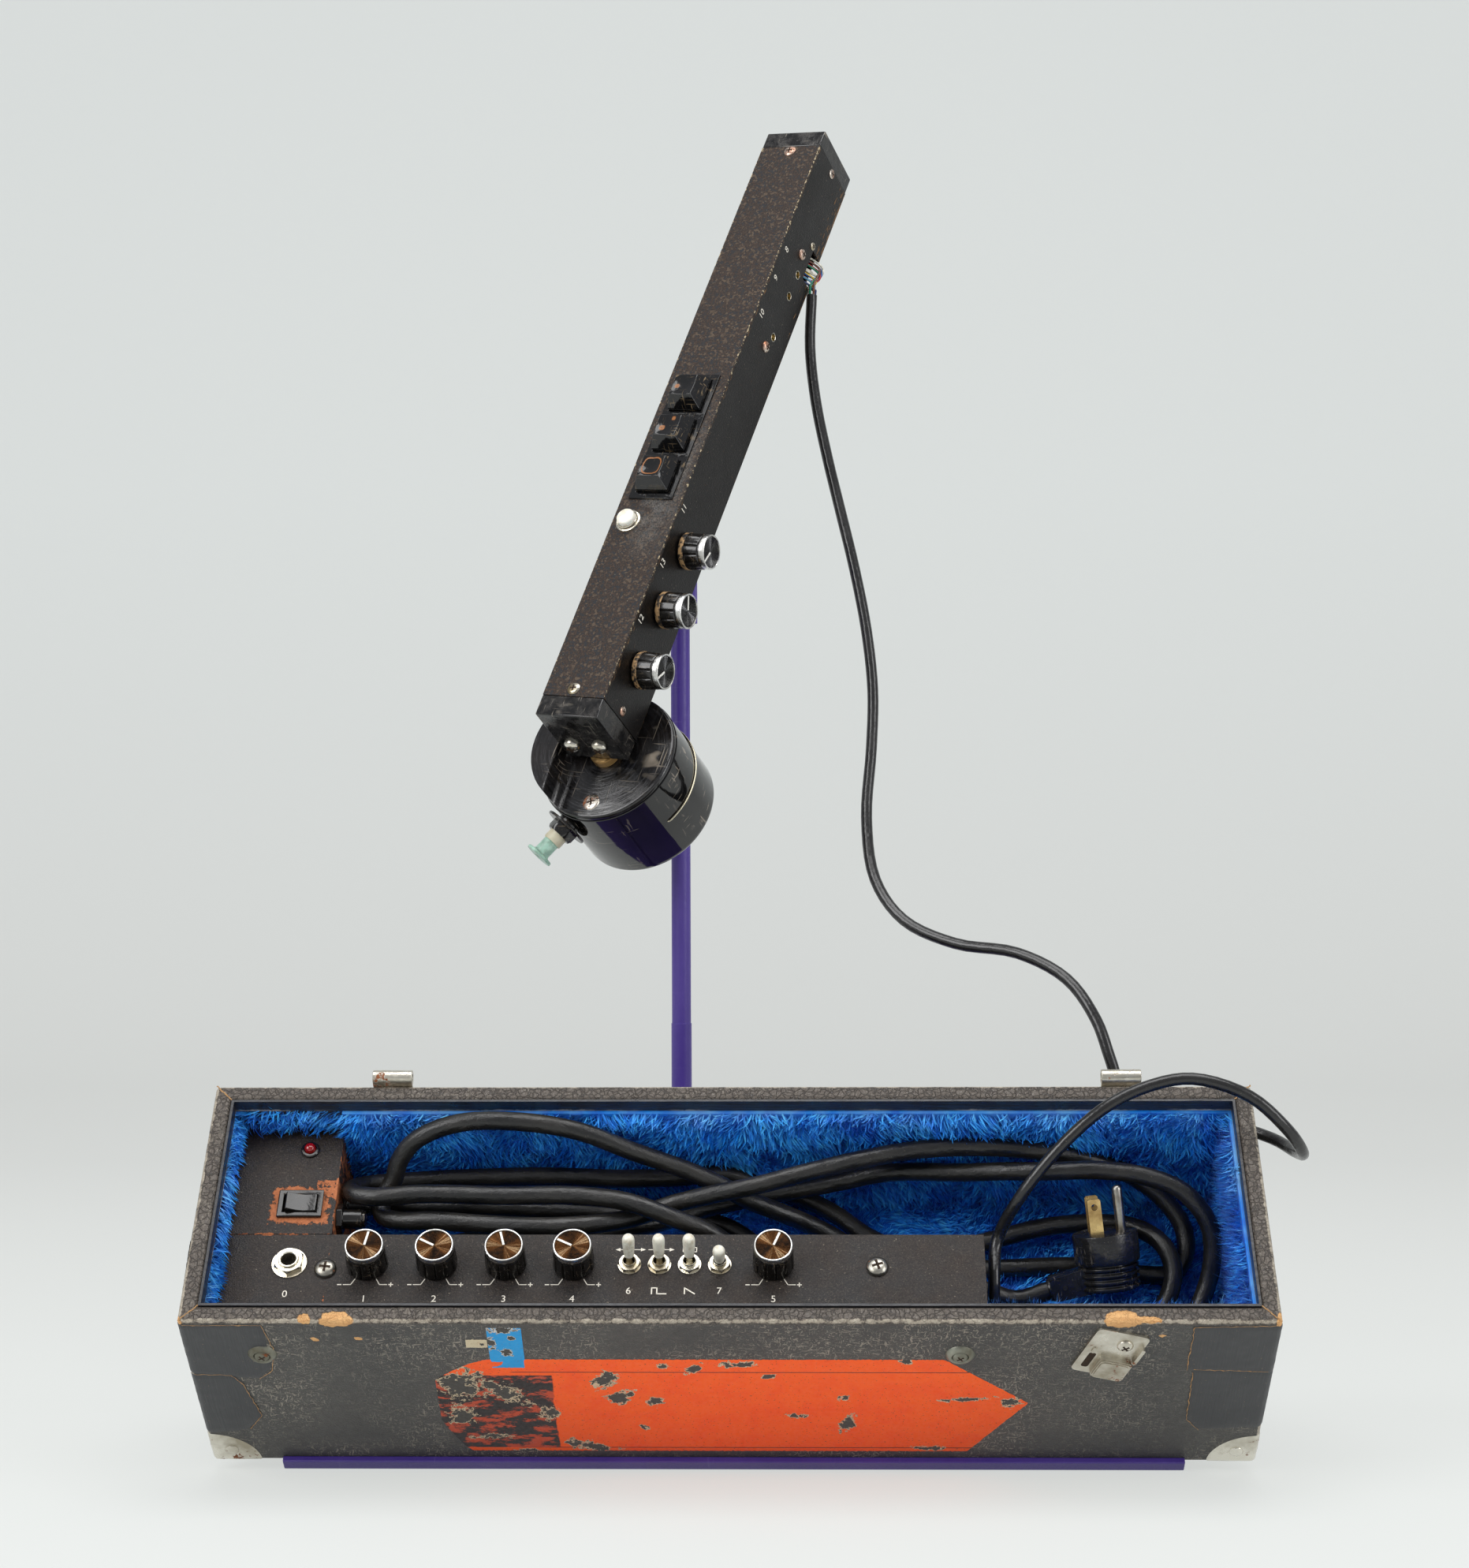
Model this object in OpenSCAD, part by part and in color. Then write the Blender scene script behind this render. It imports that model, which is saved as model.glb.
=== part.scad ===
// Breath-controlled electronic valve instrument: a hand-held wand with three valve keys and a
// rotating octave canister, wired to a control unit built into an open carrying case.
// The case leans back on a sloping stand, and a pole behind it carries the wand.
// Row frame: X to the right, Y to the back, Z up, origin at the middle of the base plate's underside.

/* [Case] */
// Width of the carrying case
case_w = 490; // [470:1:530]
// Depth of the case, front to back
case_d = 132; // [128:1:150]
// Height of the case base, bottom to rim
case_h = 117; // [112:1:140]
// Thickness of the covered plywood walls
wall_t = 8.5; // [7:0.5:10]
// Thickness of the bottom board
floor_t = 6.5; // [5:0.5:9]
// Height of the black binding inside the rim
band_h = 7.2; // [5:0.2:10]
// Thickness of the black binding
band_t = 1.2; // [0.8:0.1:2]
// Backward lean of the case on its stand
tilt = 46.2; // [40:0.1:52]
// Size of each bottom corner cap
cap_size = 23; // [16:1:30]
// Sheet thickness of the corner caps
cap_t = 0.8; // [0.6:0.1:1.2]

/* [Bay] */
// Depth of the fur-lined bay below the rim
bay_depth = 80; // [76:1:82]
// Thickness of the fur backing
fur_t = 3; // [2:0.5:4]
// Thickness of the raised tray board
tray_t = 4; // [3:0.5:6]

/* [Control panel] */
// Length of the control panel
panel_w = 353; // [345:1:360]
// Depth of the control panel
panel_d = 52; // [48:1:53]
// Drop of the panel below the rim
panel_drop = 22; // [18:1:26]
// Sheet thickness of the panel and the power box
sheet_t = 1.6; // [1:0.1:2]
// Height of the panel's folded edges
flange_h = 12; // [8:1:16]
// Gap between the front wall and the panel
panel_gap = 1.5; // [1:0.5:4]
// Length of the power box
supply_w = 51; // [50:1:54]
// Running clearance round fixed pieces
fit = 0.3; // [0.2:0.05:0.4]

/* [Knobs] */
// Knob diameter
knob_d = 19; // [16:0.5:22]
// Knob height
knob_h = 15; // [12:0.5:18]
// Gap under a knob
knob_gap = 0.5; // [0.4:0.1:1]
// Shaft diameter
shaft_d = 6.35; // [5.8:0.05:6.6]
// Radial clearance of a shaft in its bushing
shaft_fit = 0.05; // [0.02:0.01:0.09]
// Outer diameter of a potentiometer bushing
bushing_d = 9.4; // [9:0.1:10]
// Depth of a potentiometer body
pot_h = 10; // [8:0.5:12]
// Diameter of a potentiometer body
pot_d = 17; // [15:0.5:17.5]

/* [Toggles and jack] */
// Spacing of the toggle switches
toggle_pitch = 13.8; // [12.9:0.1:15]
// Throw of a toggle lever to each side of upright
toggle_throw = 12; // [9:0.5:13]
// Length of a toggle lever above its pivot
lever_l = 17.5; // [14:0.5:20]
// Diameter of a lever's plastic cap
lever_d = 5.8; // [5:0.1:6.4]
// Bore of the signal jack
jack_bore_d = 6.4; // [6.3:0.05:6.6]
// Size of the jack nut across its flats
jack_nut = 12.7; // [12:0.1:14]

/* [Power switch] */
// Length of the rocker's bezel
bezel_l = 21; // [20:0.5:23]
// Width of the rocker's bezel
bezel_w = 15; // [14.5:0.5:17]
// Throw of the rocker to each side of level
rocker_throw = 8; // [5:0.5:9]

/* [Wand] */
// Width of the wand
wand_w = 35.6; // [33:0.2:40]
// Depth of the wand, front to back
wand_d = 38.7; // [37:0.1:42]
// Length of the wand's sheet-metal tube
wand_l = 357.7; // [350:0.1:380]
// Height of the wand's lower end block
foot_h = 11.6; // [9:0.2:14]
// Height of the wand's upper end block
head_h = 10.4; // [8:0.2:14]
// Sheet thickness of the wand
skin_t = 1.5; // [1:0.1:2]
// Depth of the front channel's folded left side
fold_d = 13; // [10:0.5:16]
// Spacing of the wand's knobs
wand_knob_pitch = 36.35; // [34:0.05:40]
// Height of the lowest wand knob
wand_knob_z = 29.3; // [26:0.1:32]

/* [Valve keys] */
// Width of a valve key
key_w = 18.8; // [16:0.2:19.4]
// Length of a valve key
key_l = 19.6; // [17:0.2:21]
// Width of a valve key's top
key_top = 12.6; // [10:0.2:14]
// Height of a valve key above the wand
key_h = 10.5; // [8:0.5:12]
// Spacing of the valve keys
key_pitch = 26.1; // [25:0.1:28]
// Travel of a valve key
key_travel = 3.5; // [2.5:0.1:4]
// Diameter of the push button
button_d = 9.8; // [8.5:0.1:10.5]
// Travel of the push button
button_travel = 2; // [1.5:0.1:2.5]

/* [Octave canister] */
// Diameter of the octave drum
drum_d = 73.6; // [70:0.2:78]
// Height of the octave drum
drum_h = 50; // [46:0.5:56]
// Wall of the octave drum
drum_t = 2; // [1.5:0.1:3]
// Thickness of the fixed top plate
plate_t = 3; // [2.5:0.1:4]
// Gap between the wand's back and the top plate
plate_gap = 4; // [3:0.5:6]
// Height of the raised thumb block
thumb_h = 12.5; // [10:0.5:14]
// Diameter of the canister's axle
axle_d = 8; // [6:0.5:10]
// Bore of the breath nipple
nipple_bore_d = 3.2; // [2.6:0.1:3.6]
// Outer diameter of the breath nipple
nipple_d = 8.4; // [7.6:0.2:9.4]

/* [Stand] */
// Sheet thickness of the stand's deck and lip
deck_t = 3; // [2:0.5:4]
// Distance from each end of the case in to the stand's lip
lip_inset = 33; // [30:1:55]
// Height of the lip in front of the case
lip_h = 3.8; // [3:0.2:6]
// Distance from the case's front edge back to the base plate
base_setback = 20; // [8:1:24]
// Distance from each end of the case in to the base plate
base_inset = 45; // [35:1:60]
// Depth of the base plate
base_d = 235; // [220:5:300]
// Thickness of the base plate
base_t = 4; // [3:0.5:6]
// Diameter of the pole
pole_d = 10; // [8:0.5:11]
// Height of the pole's thicker lower tube
sleeve_h = 198; // [150:1:260]

/* [Cords] */
// Diameter of the mains cord
mains_d = 8.8; // [7:0.1:8.8]
// Diameter of the wand's cable
cable_d = 5.8; // [4:0.1:6]

/* [Hidden] */
$fn = 48;
skip = 0.02;                  // overshoot that keeps a cut's faces clear of the stock's

lip_w = case_w - 2 * lip_inset;
base_w = case_w - 2 * base_inset;

// Case frame: X from the middle, Y from the front face, Z from the underside.
case_lift = deck_t * (sin(tilt) + cos(tilt));
case_y = -base_d / 2 - base_setback;
half_w = case_w / 2;
inner_x = half_w - wall_t;
inner_y0 = wall_t;
inner_y1 = case_d - wall_t;
fur_z = case_h - bay_depth;
tray_z = fur_z - fur_t - tray_t;
panel_z = case_h - panel_drop;
panel_x0 = -inner_x + 0.5;
panel_x1 = panel_x0 + panel_w;
panel_y0 = inner_y0 + panel_gap;
panel_y1 = panel_y0 + panel_d;
supply_x1 = panel_x0 + supply_w;
supply_y0 = panel_y1 + fit;
supply_y1 = inner_y1 - fit;

// Controls on the panel, by X and Y.
knob_y = panel_y0 + 35.7;
knob_x = [panel_x0 + 69.3, panel_x0 + 101.4, panel_x0 + 133.2, panel_x0 + 164.4, panel_x0 + 256];
knob_turn = [-10, 62, 15, 63, -22];   // pointer angle from straight back, seen from above
toggle_x = [for (i = [0:3]) panel_x0 + 189.9 + i * toggle_pitch];
toggle_y = knob_y - 0.3;
jack_at = [panel_x0 + 33.2, knob_y + 0.3];
screw_at = [[panel_x0 + 50.2, knob_y - 2.9], [panel_x1 - 49.5, knob_y - 1.7]];
lamp_at = [panel_x0 + 35.7, supply_y1 - 13];
rocker_at = [panel_x0 + 34.6, supply_y0 + 16.4];
gland_at = [supply_x1, supply_y0 + 32.7, panel_z - 23];
gland_l = 13;
fuse_at = [supply_x1, supply_y0 + 14.7, panel_z - 9];
board_drop = 26;

// Wand frame: X across the front, Y from the front to the back, Z along the wand.
wand_at = [-94, case_y + 63.4, 367.6];
wand_turn = [-31.9, 4.1, -27.8];
wand_knob_y = wand_d / 2;
key_x = 17.4;
key_z = [for (i = [0:2]) 133.6 + i * key_pitch];
button_at = [9.6, 105.8];
trimmer_at = [[23.9, 244.6], [23.8, 272.5], [24.2, 287.6]];
slot_z = [290, 309];
axis_x = wand_w / 2 + 1.4;
axis_z = -7.3;
plate_y = wand_d + plate_gap;
drum_y = plate_y + plate_t + fit;
fitting_turn = 242;           // direction of the breath fitting round the canister's axis
fitting_y = drum_y + 12;

// Stand frame is the row frame.
pole_at = [-29.6, case_y + 152];
deck_l = inner_y1 - 4;

module in_case() translate([0, case_y, case_lift]) rotate([tilt, 0, 0]) children();
module in_wand() translate(wand_at) rotate(wand_turn) children();
module on_panel(x, y, turn = 0) in_case() translate([x, y, panel_z]) rotate([0, 0, turn]) children();
module on_side(y, z, turn = 0)
  in_wand() translate([wand_w, y, z]) rotate([90, 0, 90]) rotate([0, 0, turn]) children();
module on_front(x, z) in_wand() translate([x, 0, z]) rotate([90, 0, 0]) children();
module box(low, high) translate(low) cube(high - low);
module ring(r1, r2, h) difference() {
  cylinder(r = r2, h = h);
  translate([0, 0, -1]) cylinder(r = r1, h = h + 2);
}
module pan_head(r, h) intersection() {
  cylinder(r = r, h = h);
  translate([0, 0, h - r * 1.35]) sphere(r = r * 1.35);
}

// ---- carrying case ----

module case_front() color("#4a4844") in_case()
  box([-half_w, 0, 0], [half_w, wall_t, case_h]);

module case_back() color("#4a4844") in_case()
  box([-half_w, case_d - wall_t, 0], [half_w, case_d, case_h]);

module case_sides() color("#4a4844") in_case() for (s = [-1, 1])
  box([s < 0 ? -half_w : inner_x, wall_t, 0], [s < 0 ? -inner_x : half_w, case_d - wall_t, case_h]);

// The bottom board, the raised tray that closes off the space below, and its two cleats.
module floor_boards() color("#b08a58") in_case() {
  box([-inner_x, inner_y0, 0], [inner_x, inner_y1, floor_t]);
  box([-inner_x, inner_y0, tray_z], [inner_x, inner_y1, tray_z + tray_t]);
  for (s = [-1, 1])
    box([s < 0 ? -inner_x : inner_x - 12, inner_y0, floor_t],
        [s < 0 ? -inner_x + 12 : inner_x, inner_y1, tray_z]);
}

module rim_band() color("#1c1c1e") in_case() difference() {
  box([-inner_x, inner_y0, case_h - band_h], [inner_x, inner_y1, case_h]);
  box([-inner_x + band_t, inner_y0 + band_t, case_h - band_h - 1],
      [inner_x - band_t, inner_y1 - band_t, case_h + 1]);
}

// Fur backing on the tray and up the walls of the open bay.
module fur_lining() color("#1560c8") in_case() difference() {
  union() {
    box([-inner_x, inner_y0, fur_z - fur_t], [inner_x, inner_y1, fur_z]);
    box([supply_x1 + fit, inner_y1 - fur_t, fur_z - fur_t], [inner_x, inner_y1, case_h - band_h]);
    box([inner_x - fur_t, inner_y0, fur_z - fur_t], [inner_x, inner_y1, case_h - band_h]);
    box([panel_x1 + 1, inner_y0, fur_z - fur_t], [inner_x, inner_y0 + fur_t, case_h - band_h]);
  }
  box([-inner_x - 1, supply_y0 - fit, 0], [supply_x1 + fit, inner_y1 + 1, case_h]);
  for (p = screw_at) translate([p[0], p[1], 0]) cylinder(r = 5 + fit, h = case_h);
}

// Pressed steel caps on the four bottom corners: a quarter disc on each face, and a round-headed rivet.
module quarter_sheet() linear_extrude(cap_t) intersection() {
  circle(r = cap_size);
  translate([-cap_t, -cap_t]) square(cap_size + cap_t + 1);
}
module corner_caps() color("#8d8a80") in_case() for (sx = [0, 1], sy = [0, 1])
  translate([sx == 0 ? -half_w : half_w, sy * case_d, 0]) mirror([sx, 0, 0]) mirror([0, sy, 0]) {
    translate([0, 0, -cap_t]) quarter_sheet();
    rotate([90, 0, 0]) quarter_sheet();
    rotate([0, -90, 0]) quarter_sheet();
    translate([cap_size * 0.42, 0.1 - cap_t, cap_size * 0.42]) rotate([90, 0, 0]) pan_head(3.4, 1.5);
  }

// The case's halves of two lift-off hinges; the lid's halves went with the lid.
hinge_x = [-172, 172];
barrel_x = [-170.3, 174.6];
barrel_l = 18.7;
barrel_r = 3.5;
barrel_bore = 1.7;
leaf_t = 1.2;
leaf_h = 22;
barrel_y = case_d + barrel_r;
barrel_z = case_h + 1.5;
module hinge_leaves() color("#a9a698") in_case() for (i = [0, 1]) {
  difference() {
    union() {
      box([hinge_x[i] - 18.5, case_d, case_h - leaf_h], [hinge_x[i] + 18.5, case_d + leaf_t, case_h - 3]);
      box([barrel_x[i], case_d, case_h - 4], [barrel_x[i] + barrel_l, case_d + leaf_t, barrel_z]);
      translate([barrel_x[i], barrel_y, barrel_z]) rotate([0, 90, 0]) cylinder(r = barrel_r, h = barrel_l);
    }
    translate([barrel_x[i] - 1, barrel_y, barrel_z]) rotate([0, 90, 0])
      cylinder(r = barrel_bore, h = barrel_l + 2);
  }
  for (s = [-1, 1]) translate([hinge_x[i] + s * 12, case_d + leaf_t, case_h - leaf_h + 7])
    rotate([-90, 0, 0]) pan_head(3, 1.2);
}

// The case's half of a draw latch, knocked askew on its one screw, and two raised-head screws in
// dished finishing washers.
latch_at = [169, 28];
module front_hardware() color("#a8a59a") in_case() {
  translate([latch_at[0], 0, case_h - latch_at[1]]) rotate([90, 15, 0]) {
    difference() {
      translate([-13.5, -8, 0]) cube([27, 16, 1.4]);
      translate([-6, 0, -1]) cylinder(r = 1.9, h = 4);
    }
    translate([3, -6.5, 1.4]) cube([7.5, 13, 2.2]);
    translate([8, -6.5, 3.6]) cube([2.5, 13, 2.4]);
    translate([-6, 0, 1.4]) pan_head(3.6, 1.5);
  }
  for (x = [-210, 103.7]) translate([x, 0, case_h - 26]) rotate([90, 0, 0]) {
    difference() {
      cylinder(r1 = 6.6, r2 = 4.4, h = 1.7);
      translate([0, 0, 0.5]) cylinder(r = 3.3, h = 2);
    }
    translate([0, 0, 0.5]) pan_head(3.2, 1.9);
  }
}

// ---- control panel and power box ----

// Folded sheet with edges turned down at the front, the back and the right end.
module control_panel() color("#2b2724") in_case() difference() {
  union() {
    box([panel_x0, panel_y0, panel_z - sheet_t], [panel_x1, panel_y1, panel_z]);
    for (y = [panel_y0, panel_y1 - sheet_t])
      box([panel_x0, y, panel_z - flange_h], [panel_x1, y + sheet_t, panel_z]);
    box([panel_x1 - sheet_t, panel_y0, panel_z - flange_h], [panel_x1, panel_y1, panel_z]);
  }
  for (x = knob_x) translate([x, knob_y, panel_z - 9]) cylinder(d = bushing_d + fit, h = 20);
  for (x = toggle_x) translate([x, toggle_y, panel_z - 9]) cylinder(r = toggle_r + fit / 2, h = 20);
  translate([jack_at[0], jack_at[1], panel_z - 9]) cylinder(r = jack_r + fit / 2, h = 20);
  for (p = screw_at) translate([p[0], p[1], panel_z - 9]) cylinder(r = screw_r + fit, h = 20);
}

// Steel cover over the mains supply, open underneath.
module power_box() color("#2b2724") in_case() difference() {
  box([panel_x0, supply_y0, tray_z + tray_t], [supply_x1, supply_y1, panel_z]);
  box([panel_x0 + sheet_t, supply_y0 + sheet_t, tray_z], [supply_x1 - sheet_t, supply_y1 - sheet_t, panel_z - sheet_t]);
  translate([rocker_at[0], rocker_at[1], panel_z]) cube([house_l + fit, house_w + fit, 10], center = true);
  translate([lamp_at[0], lamp_at[1], panel_z - 5]) cylinder(r = lamp_r + fit / 2, h = 10);
  translate([supply_x1 - 5, gland_at[1], gland_at[2]]) rotate([0, 90, 0]) cylinder(r = gland_r + 0.1, h = 10);
  translate([supply_x1 - 5, fuse_at[1], fuse_at[2]]) rotate([0, 90, 0]) cylinder(r = fuse_r - 1, h = 10);
}

// Two large screws, each in a tapped post that stands on the tray.
screw_r = 2;
module panel_screws() color("#c9c7bf") in_case() for (p = screw_at) translate([p[0], p[1], 0]) {
  translate([0, 0, panel_z]) difference() {
    pan_head(4.8, 2.4);
    for (a = [0, 90]) rotate([0, 0, a]) translate([-2.2, -0.45, 1.2]) cube([4.4, 0.9, 2]);
  }
  translate([0, 0, panel_z - sheet_t - 7]) cylinder(r = screw_r, h = sheet_t + 7);
  difference() {
    translate([0, 0, tray_z + tray_t]) cylinder(r = 5, h = panel_z - sheet_t - tray_z - tray_t);
    translate([0, 0, panel_z - sheet_t - 8]) cylinder(r = screw_r + shaft_fit, h = 9);
  }
}

// A potentiometer below a sheet whose top is at Z = 0.
module pot(sheet) difference() {
  union() {
    translate([0, 0, -sheet - pot_h]) cylinder(d = pot_d, h = pot_h);
    translate([0, 0, -sheet - 1]) cylinder(d = bushing_d, h = sheet + 1 + knob_recess - 1);
    translate([0, 0, 0]) cylinder(d = bushing_d + 3.6, h = knob_recess - 1.4);
  }
  translate([0, 0, -sheet - pot_h + 1]) cylinder(d = shaft_d + 2 * shaft_fit, h = pot_h + 20);
}

// Circuit board that hangs below the panel on its potentiometers' legs, with the wand cable's socket.
socket_l = 14;
socket_at = [knob_x[4] + 4, panel_y0 + 23, panel_z - board_drop - 6];
module main_board() color("#2f6b3c") {
  in_case() {
    box([knob_x[0] - 13, panel_y0 + 5, panel_z - board_drop - 1.6],
        [knob_x[4] + 16, panel_y1 - 4, panel_z - board_drop]);
    for (i = [0:6]) box([knob_x[0] + 4 + i * 28, panel_y0 + 9, panel_z - board_drop],
                        [knob_x[0] + 24 + i * 28, panel_y0 + 16, panel_z - board_drop + 3.4]);
    for (x = knob_x, s = [-5, 0, 5]) translate([x + s, knob_y + 5, panel_z - board_drop - 0.5])
      cylinder(r = 0.6, h = board_drop - sheet_t - pot_h + 1);
    box([socket_at[0], socket_at[1] - 6, socket_at[2] - 4],
        [socket_at[0] + socket_l, socket_at[1] + 6, panel_z - board_drop - 1.6]);
  }
  for (x = knob_x) on_panel(x, knob_y) pot(sheet_t);
}

// Miniature toggle switches: body below the panel, bushing and hexagonal nut above it.
toggle_r = 3.2;
toggle_bore = 2.6;
toggle_top = 3.6;
pivot_z = 0.5;
module toggle_switches() color("#b8b4a4") for (x = toggle_x) on_panel(x, toggle_y) difference() {
  union() {
    translate([-6.2, -4.6, -sheet_t - 9.5]) cube([12.4, 9.2, 9.5]);
    translate([0, 0, -sheet_t - 1]) cylinder(r = toggle_r, h = sheet_t + 1 + toggle_top);
    cylinder(d = 9.2 / cos(30), h = 2, $fn = 6);
  }
  translate([0, 0, -sheet_t - 3]) cylinder(r = toggle_bore, h = 20);
}

module toggle_lever(i, lean) color("#e9e6da") on_panel(toggle_x[i], toggle_y)
  translate([0, 0, pivot_z]) rotate([lean, 0, 0]) {
    sphere(r = 2.2);
    rotate([0, 90, 0]) cylinder(r = 0.8, h = 4.8, center = true);
    cylinder(r = 1.3, h = 6);
    translate([0, 0, 5]) cylinder(r1 = lever_d / 2 - 0.7, r2 = lever_d / 2, h = lever_l - 5 - lever_d / 2);
    translate([0, 0, lever_l - lever_d / 2 - skip]) intersection() {
      sphere(d = lever_d);
      translate([0, 0, lever_d / 2]) cube(lever_d, center = true);
    }
  }
module toggle_lever_1() toggle_lever(0, -toggle_throw);
module toggle_lever_2() toggle_lever(1, -toggle_throw);
module toggle_lever_3() toggle_lever(2, -toggle_throw);
module toggle_lever_4() toggle_lever(3, toggle_throw);

jack_r = 4.7;
module signal_jack() color("#c4c1b8") on_panel(jack_at[0], jack_at[1]) difference() {
  union() {
    translate([-8, -8, -sheet_t - 22]) cube([16, 16, 22]);
    translate([0, 0, -sheet_t - 1]) cylinder(r = jack_r, h = sheet_t + 1 + 4);
    cylinder(d = jack_nut / cos(30), h = 2.6, $fn = 6);
  }
  translate([0, 0, -sheet_t - 20]) cylinder(d = jack_bore_d, h = 40);
}

// Red lamp in a black ring.
lamp_r = 3.2;
module indicator_light() color("#b3242a") on_panel(lamp_at[0], lamp_at[1]) {
  difference() {
    union() {
      translate([0, 0, -6]) cylinder(r = lamp_r, h = 6);
      cylinder(r1 = 4.4, r2 = 3.9, h = 1.3);
    }
    translate([0, 0, -4]) cylinder(r = 2.5, h = 10);
  }
  translate([0, 0, -4]) cylinder(r = 2.5, h = 5.2);
  translate([0, 0, 1.2]) intersection() {
    sphere(r = 2.5);
    cylinder(r = 3, h = 3);
  }
}

// Rocker switch: a bezel with a deep housing, and the rocker that tips in it.
house_l = bezel_l - 3;
house_w = bezel_w - 3;
rocker_l = house_l - 3.6;
rocker_w = house_w - 2.6;
rocker_pivot_z = -1.4;
module rocker_bezel() color("#161616") on_panel(rocker_at[0], rocker_at[1]) difference() {
  union() {
    translate([-bezel_l / 2, -bezel_w / 2, 0]) cube([bezel_l, bezel_w, 1.8]);
    translate([-house_l / 2, -house_w / 2, -13]) cube([house_l, house_w, 13 + skip]);
  }
  translate([-rocker_l / 2 - 0.8, -rocker_w / 2 - fit, -11]) cube([rocker_l + 1.6, rocker_w + 2 * fit, 20]);
}
module power_rocker() color("#1b1b1b") on_panel(rocker_at[0], rocker_at[1])
  translate([0, 0, rocker_pivot_z]) rotate([0, rocker_throw, 0]) rotate([90, 0, 0]) {
    linear_extrude(rocker_w, center = true)
      polygon([[-rocker_l / 2, -3], [-2, -5], [2, -5], [rocker_l / 2, -3], [rocker_l / 2, 4.6],
               [0, 3.4], [-rocker_l / 2, 4.6]]);
    cylinder(r = 1.2, h = rocker_w + 0.4, center = true);
  }

// Mains transformer on the tray, under the power box.
module transformer() color("#6d6a60") in_case() {
  x0 = panel_x0 + sheet_t + 4;
  y0 = supply_y0 + sheet_t + 6;
  z0 = tray_z + tray_t;
  core_w = supply_w - 13;
  difference() {
    box([x0, y0, z0], [x0 + core_w, y0 + 34, z0 + 32]);
    for (x = [x0 + 6, x0 + 22]) box([x, y0 - 1, z0 + 7], [x + 10, y0 + 35, z0 + 25]);
  }
  difference() {
    box([x0 + 6.4, y0 - 4, z0 + 7.4], [x0 + 31.6, y0 + 38, z0 + 24.6]);
    box([x0 + 15.8, y0 - 0.3, z0], [x0 + 22.2, y0 + 34.3, z0 + 32]);
  }
}

// Moulded strain relief where the mains cord leaves the power box.
gland_r = 5.2;
module cord_gland() color("#17171a") in_case() translate([gland_at[0], gland_at[1], gland_at[2]])
  rotate([0, 90, 0]) {
    translate([0, 0, -sheet_t - 4]) cylinder(r = gland_r, h = sheet_t + 4);
    cylinder(r = 7, h = 2.5);
    translate([0, 0, 2.5]) cylinder(r1 = 6.2, r2 = 5, h = gland_l - 2.5);
  }

// Panel-mounted fuse holder: flange nut, cap and the metal ring at its end.
fuse_r = 4.6;
module fuse_holder() color("#131315") in_case() translate([fuse_at[0], fuse_at[1], fuse_at[2]])
  rotate([0, 90, 0]) {
    translate([0, 0, -sheet_t - 4.5]) cylinder(r = fuse_r - 1.1, h = sheet_t + 4.5);
    cylinder(d = 13 / cos(30), h = 3, $fn = 6);
    translate([0, 0, 3]) cylinder(r = fuse_r, h = 9);
    translate([0, 0, 12]) cylinder(r = fuse_r - 0.6, h = 1.4);
  }

// A control knob: hollow skirt, aluminium rim and inset cap with a pointer, on its own shaft.
knob_recess = 4.4;
module knob() {
  difference() {
    translate([0, 0, knob_gap]) cylinder(d1 = knob_d, d2 = knob_d - 0.8, h = knob_h - 1.8);
    cylinder(r = knob_d / 2 - 2, h = knob_recess);
  }
  translate([0, 0, knob_gap + knob_h - 1.8]) ring(knob_d / 2 - 1.6, knob_d / 2 - 0.2, 1.8);
  translate([0, 0, knob_gap + knob_h - 1.8]) cylinder(d = knob_d - 3.6, h = 1);
  translate([-0.5, 0, knob_gap + knob_h - 0.8]) cube([1, knob_d / 2 - 2, 0.3]);
  translate([0, 0, -pot_h + 2]) cylinder(d = shaft_d, h = pot_h - 1 + knob_recess);
}
module panel_knob(i) color("#3a2a18") on_panel(knob_x[i], knob_y, knob_turn[i]) knob();
module volume_knob() panel_knob(0);
module breath_knob() panel_knob(1);
module resonance_knob() panel_knob(2);
module detune_knob() panel_knob(3);
module tuning_knob() panel_knob(4);

// ---- wand ----

key_slot_l = 2 * key_pitch + key_l + 2;
module wand_front() color("#4b3527") in_wand() difference() {
  union() {
    cube([wand_w, skin_t, wand_l]);
    cube([skin_t, fold_d, wand_l]);
  }
  translate([key_x - key_w / 2 - 1, -1, key_z[1] - key_slot_l / 2]) cube([key_w + 2, 5, key_slot_l]);
  translate([button_at[0], 5, button_at[1]]) rotate([90, 0, 0]) cylinder(r = bush_r + fit / 2, h = 10);
}

module wand_back() color("#131313") {
  difference() {
    in_wand() difference() {
      translate([0, skin_t + skip, 0]) cube([wand_w, wand_d - skin_t - skip, wand_l]);
      translate([skin_t, -1, -1]) cube([wand_w - 2 * skin_t, wand_d - skin_t + 1, wand_l + 2]);
      translate([-1, -1, -1]) cube([skin_t + 2, fold_d + 1 + skip, wand_l + 2]);
      translate([wand_w - 3, wand_d - 9, slot_z[0]]) cube([9, 20, slot_z[1] - slot_z[0]]);
    }
    for (i = [0:2]) on_side(wand_knob_y, wand_knob_z + i * wand_knob_pitch)
      translate([0, 0, -9]) cylinder(d = bushing_d + fit, h = 20);
    for (p = trimmer_at) on_side(p[0], p[1]) translate([0, 0, -5]) cylinder(r = 2, h = 10);
  }
}

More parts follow.
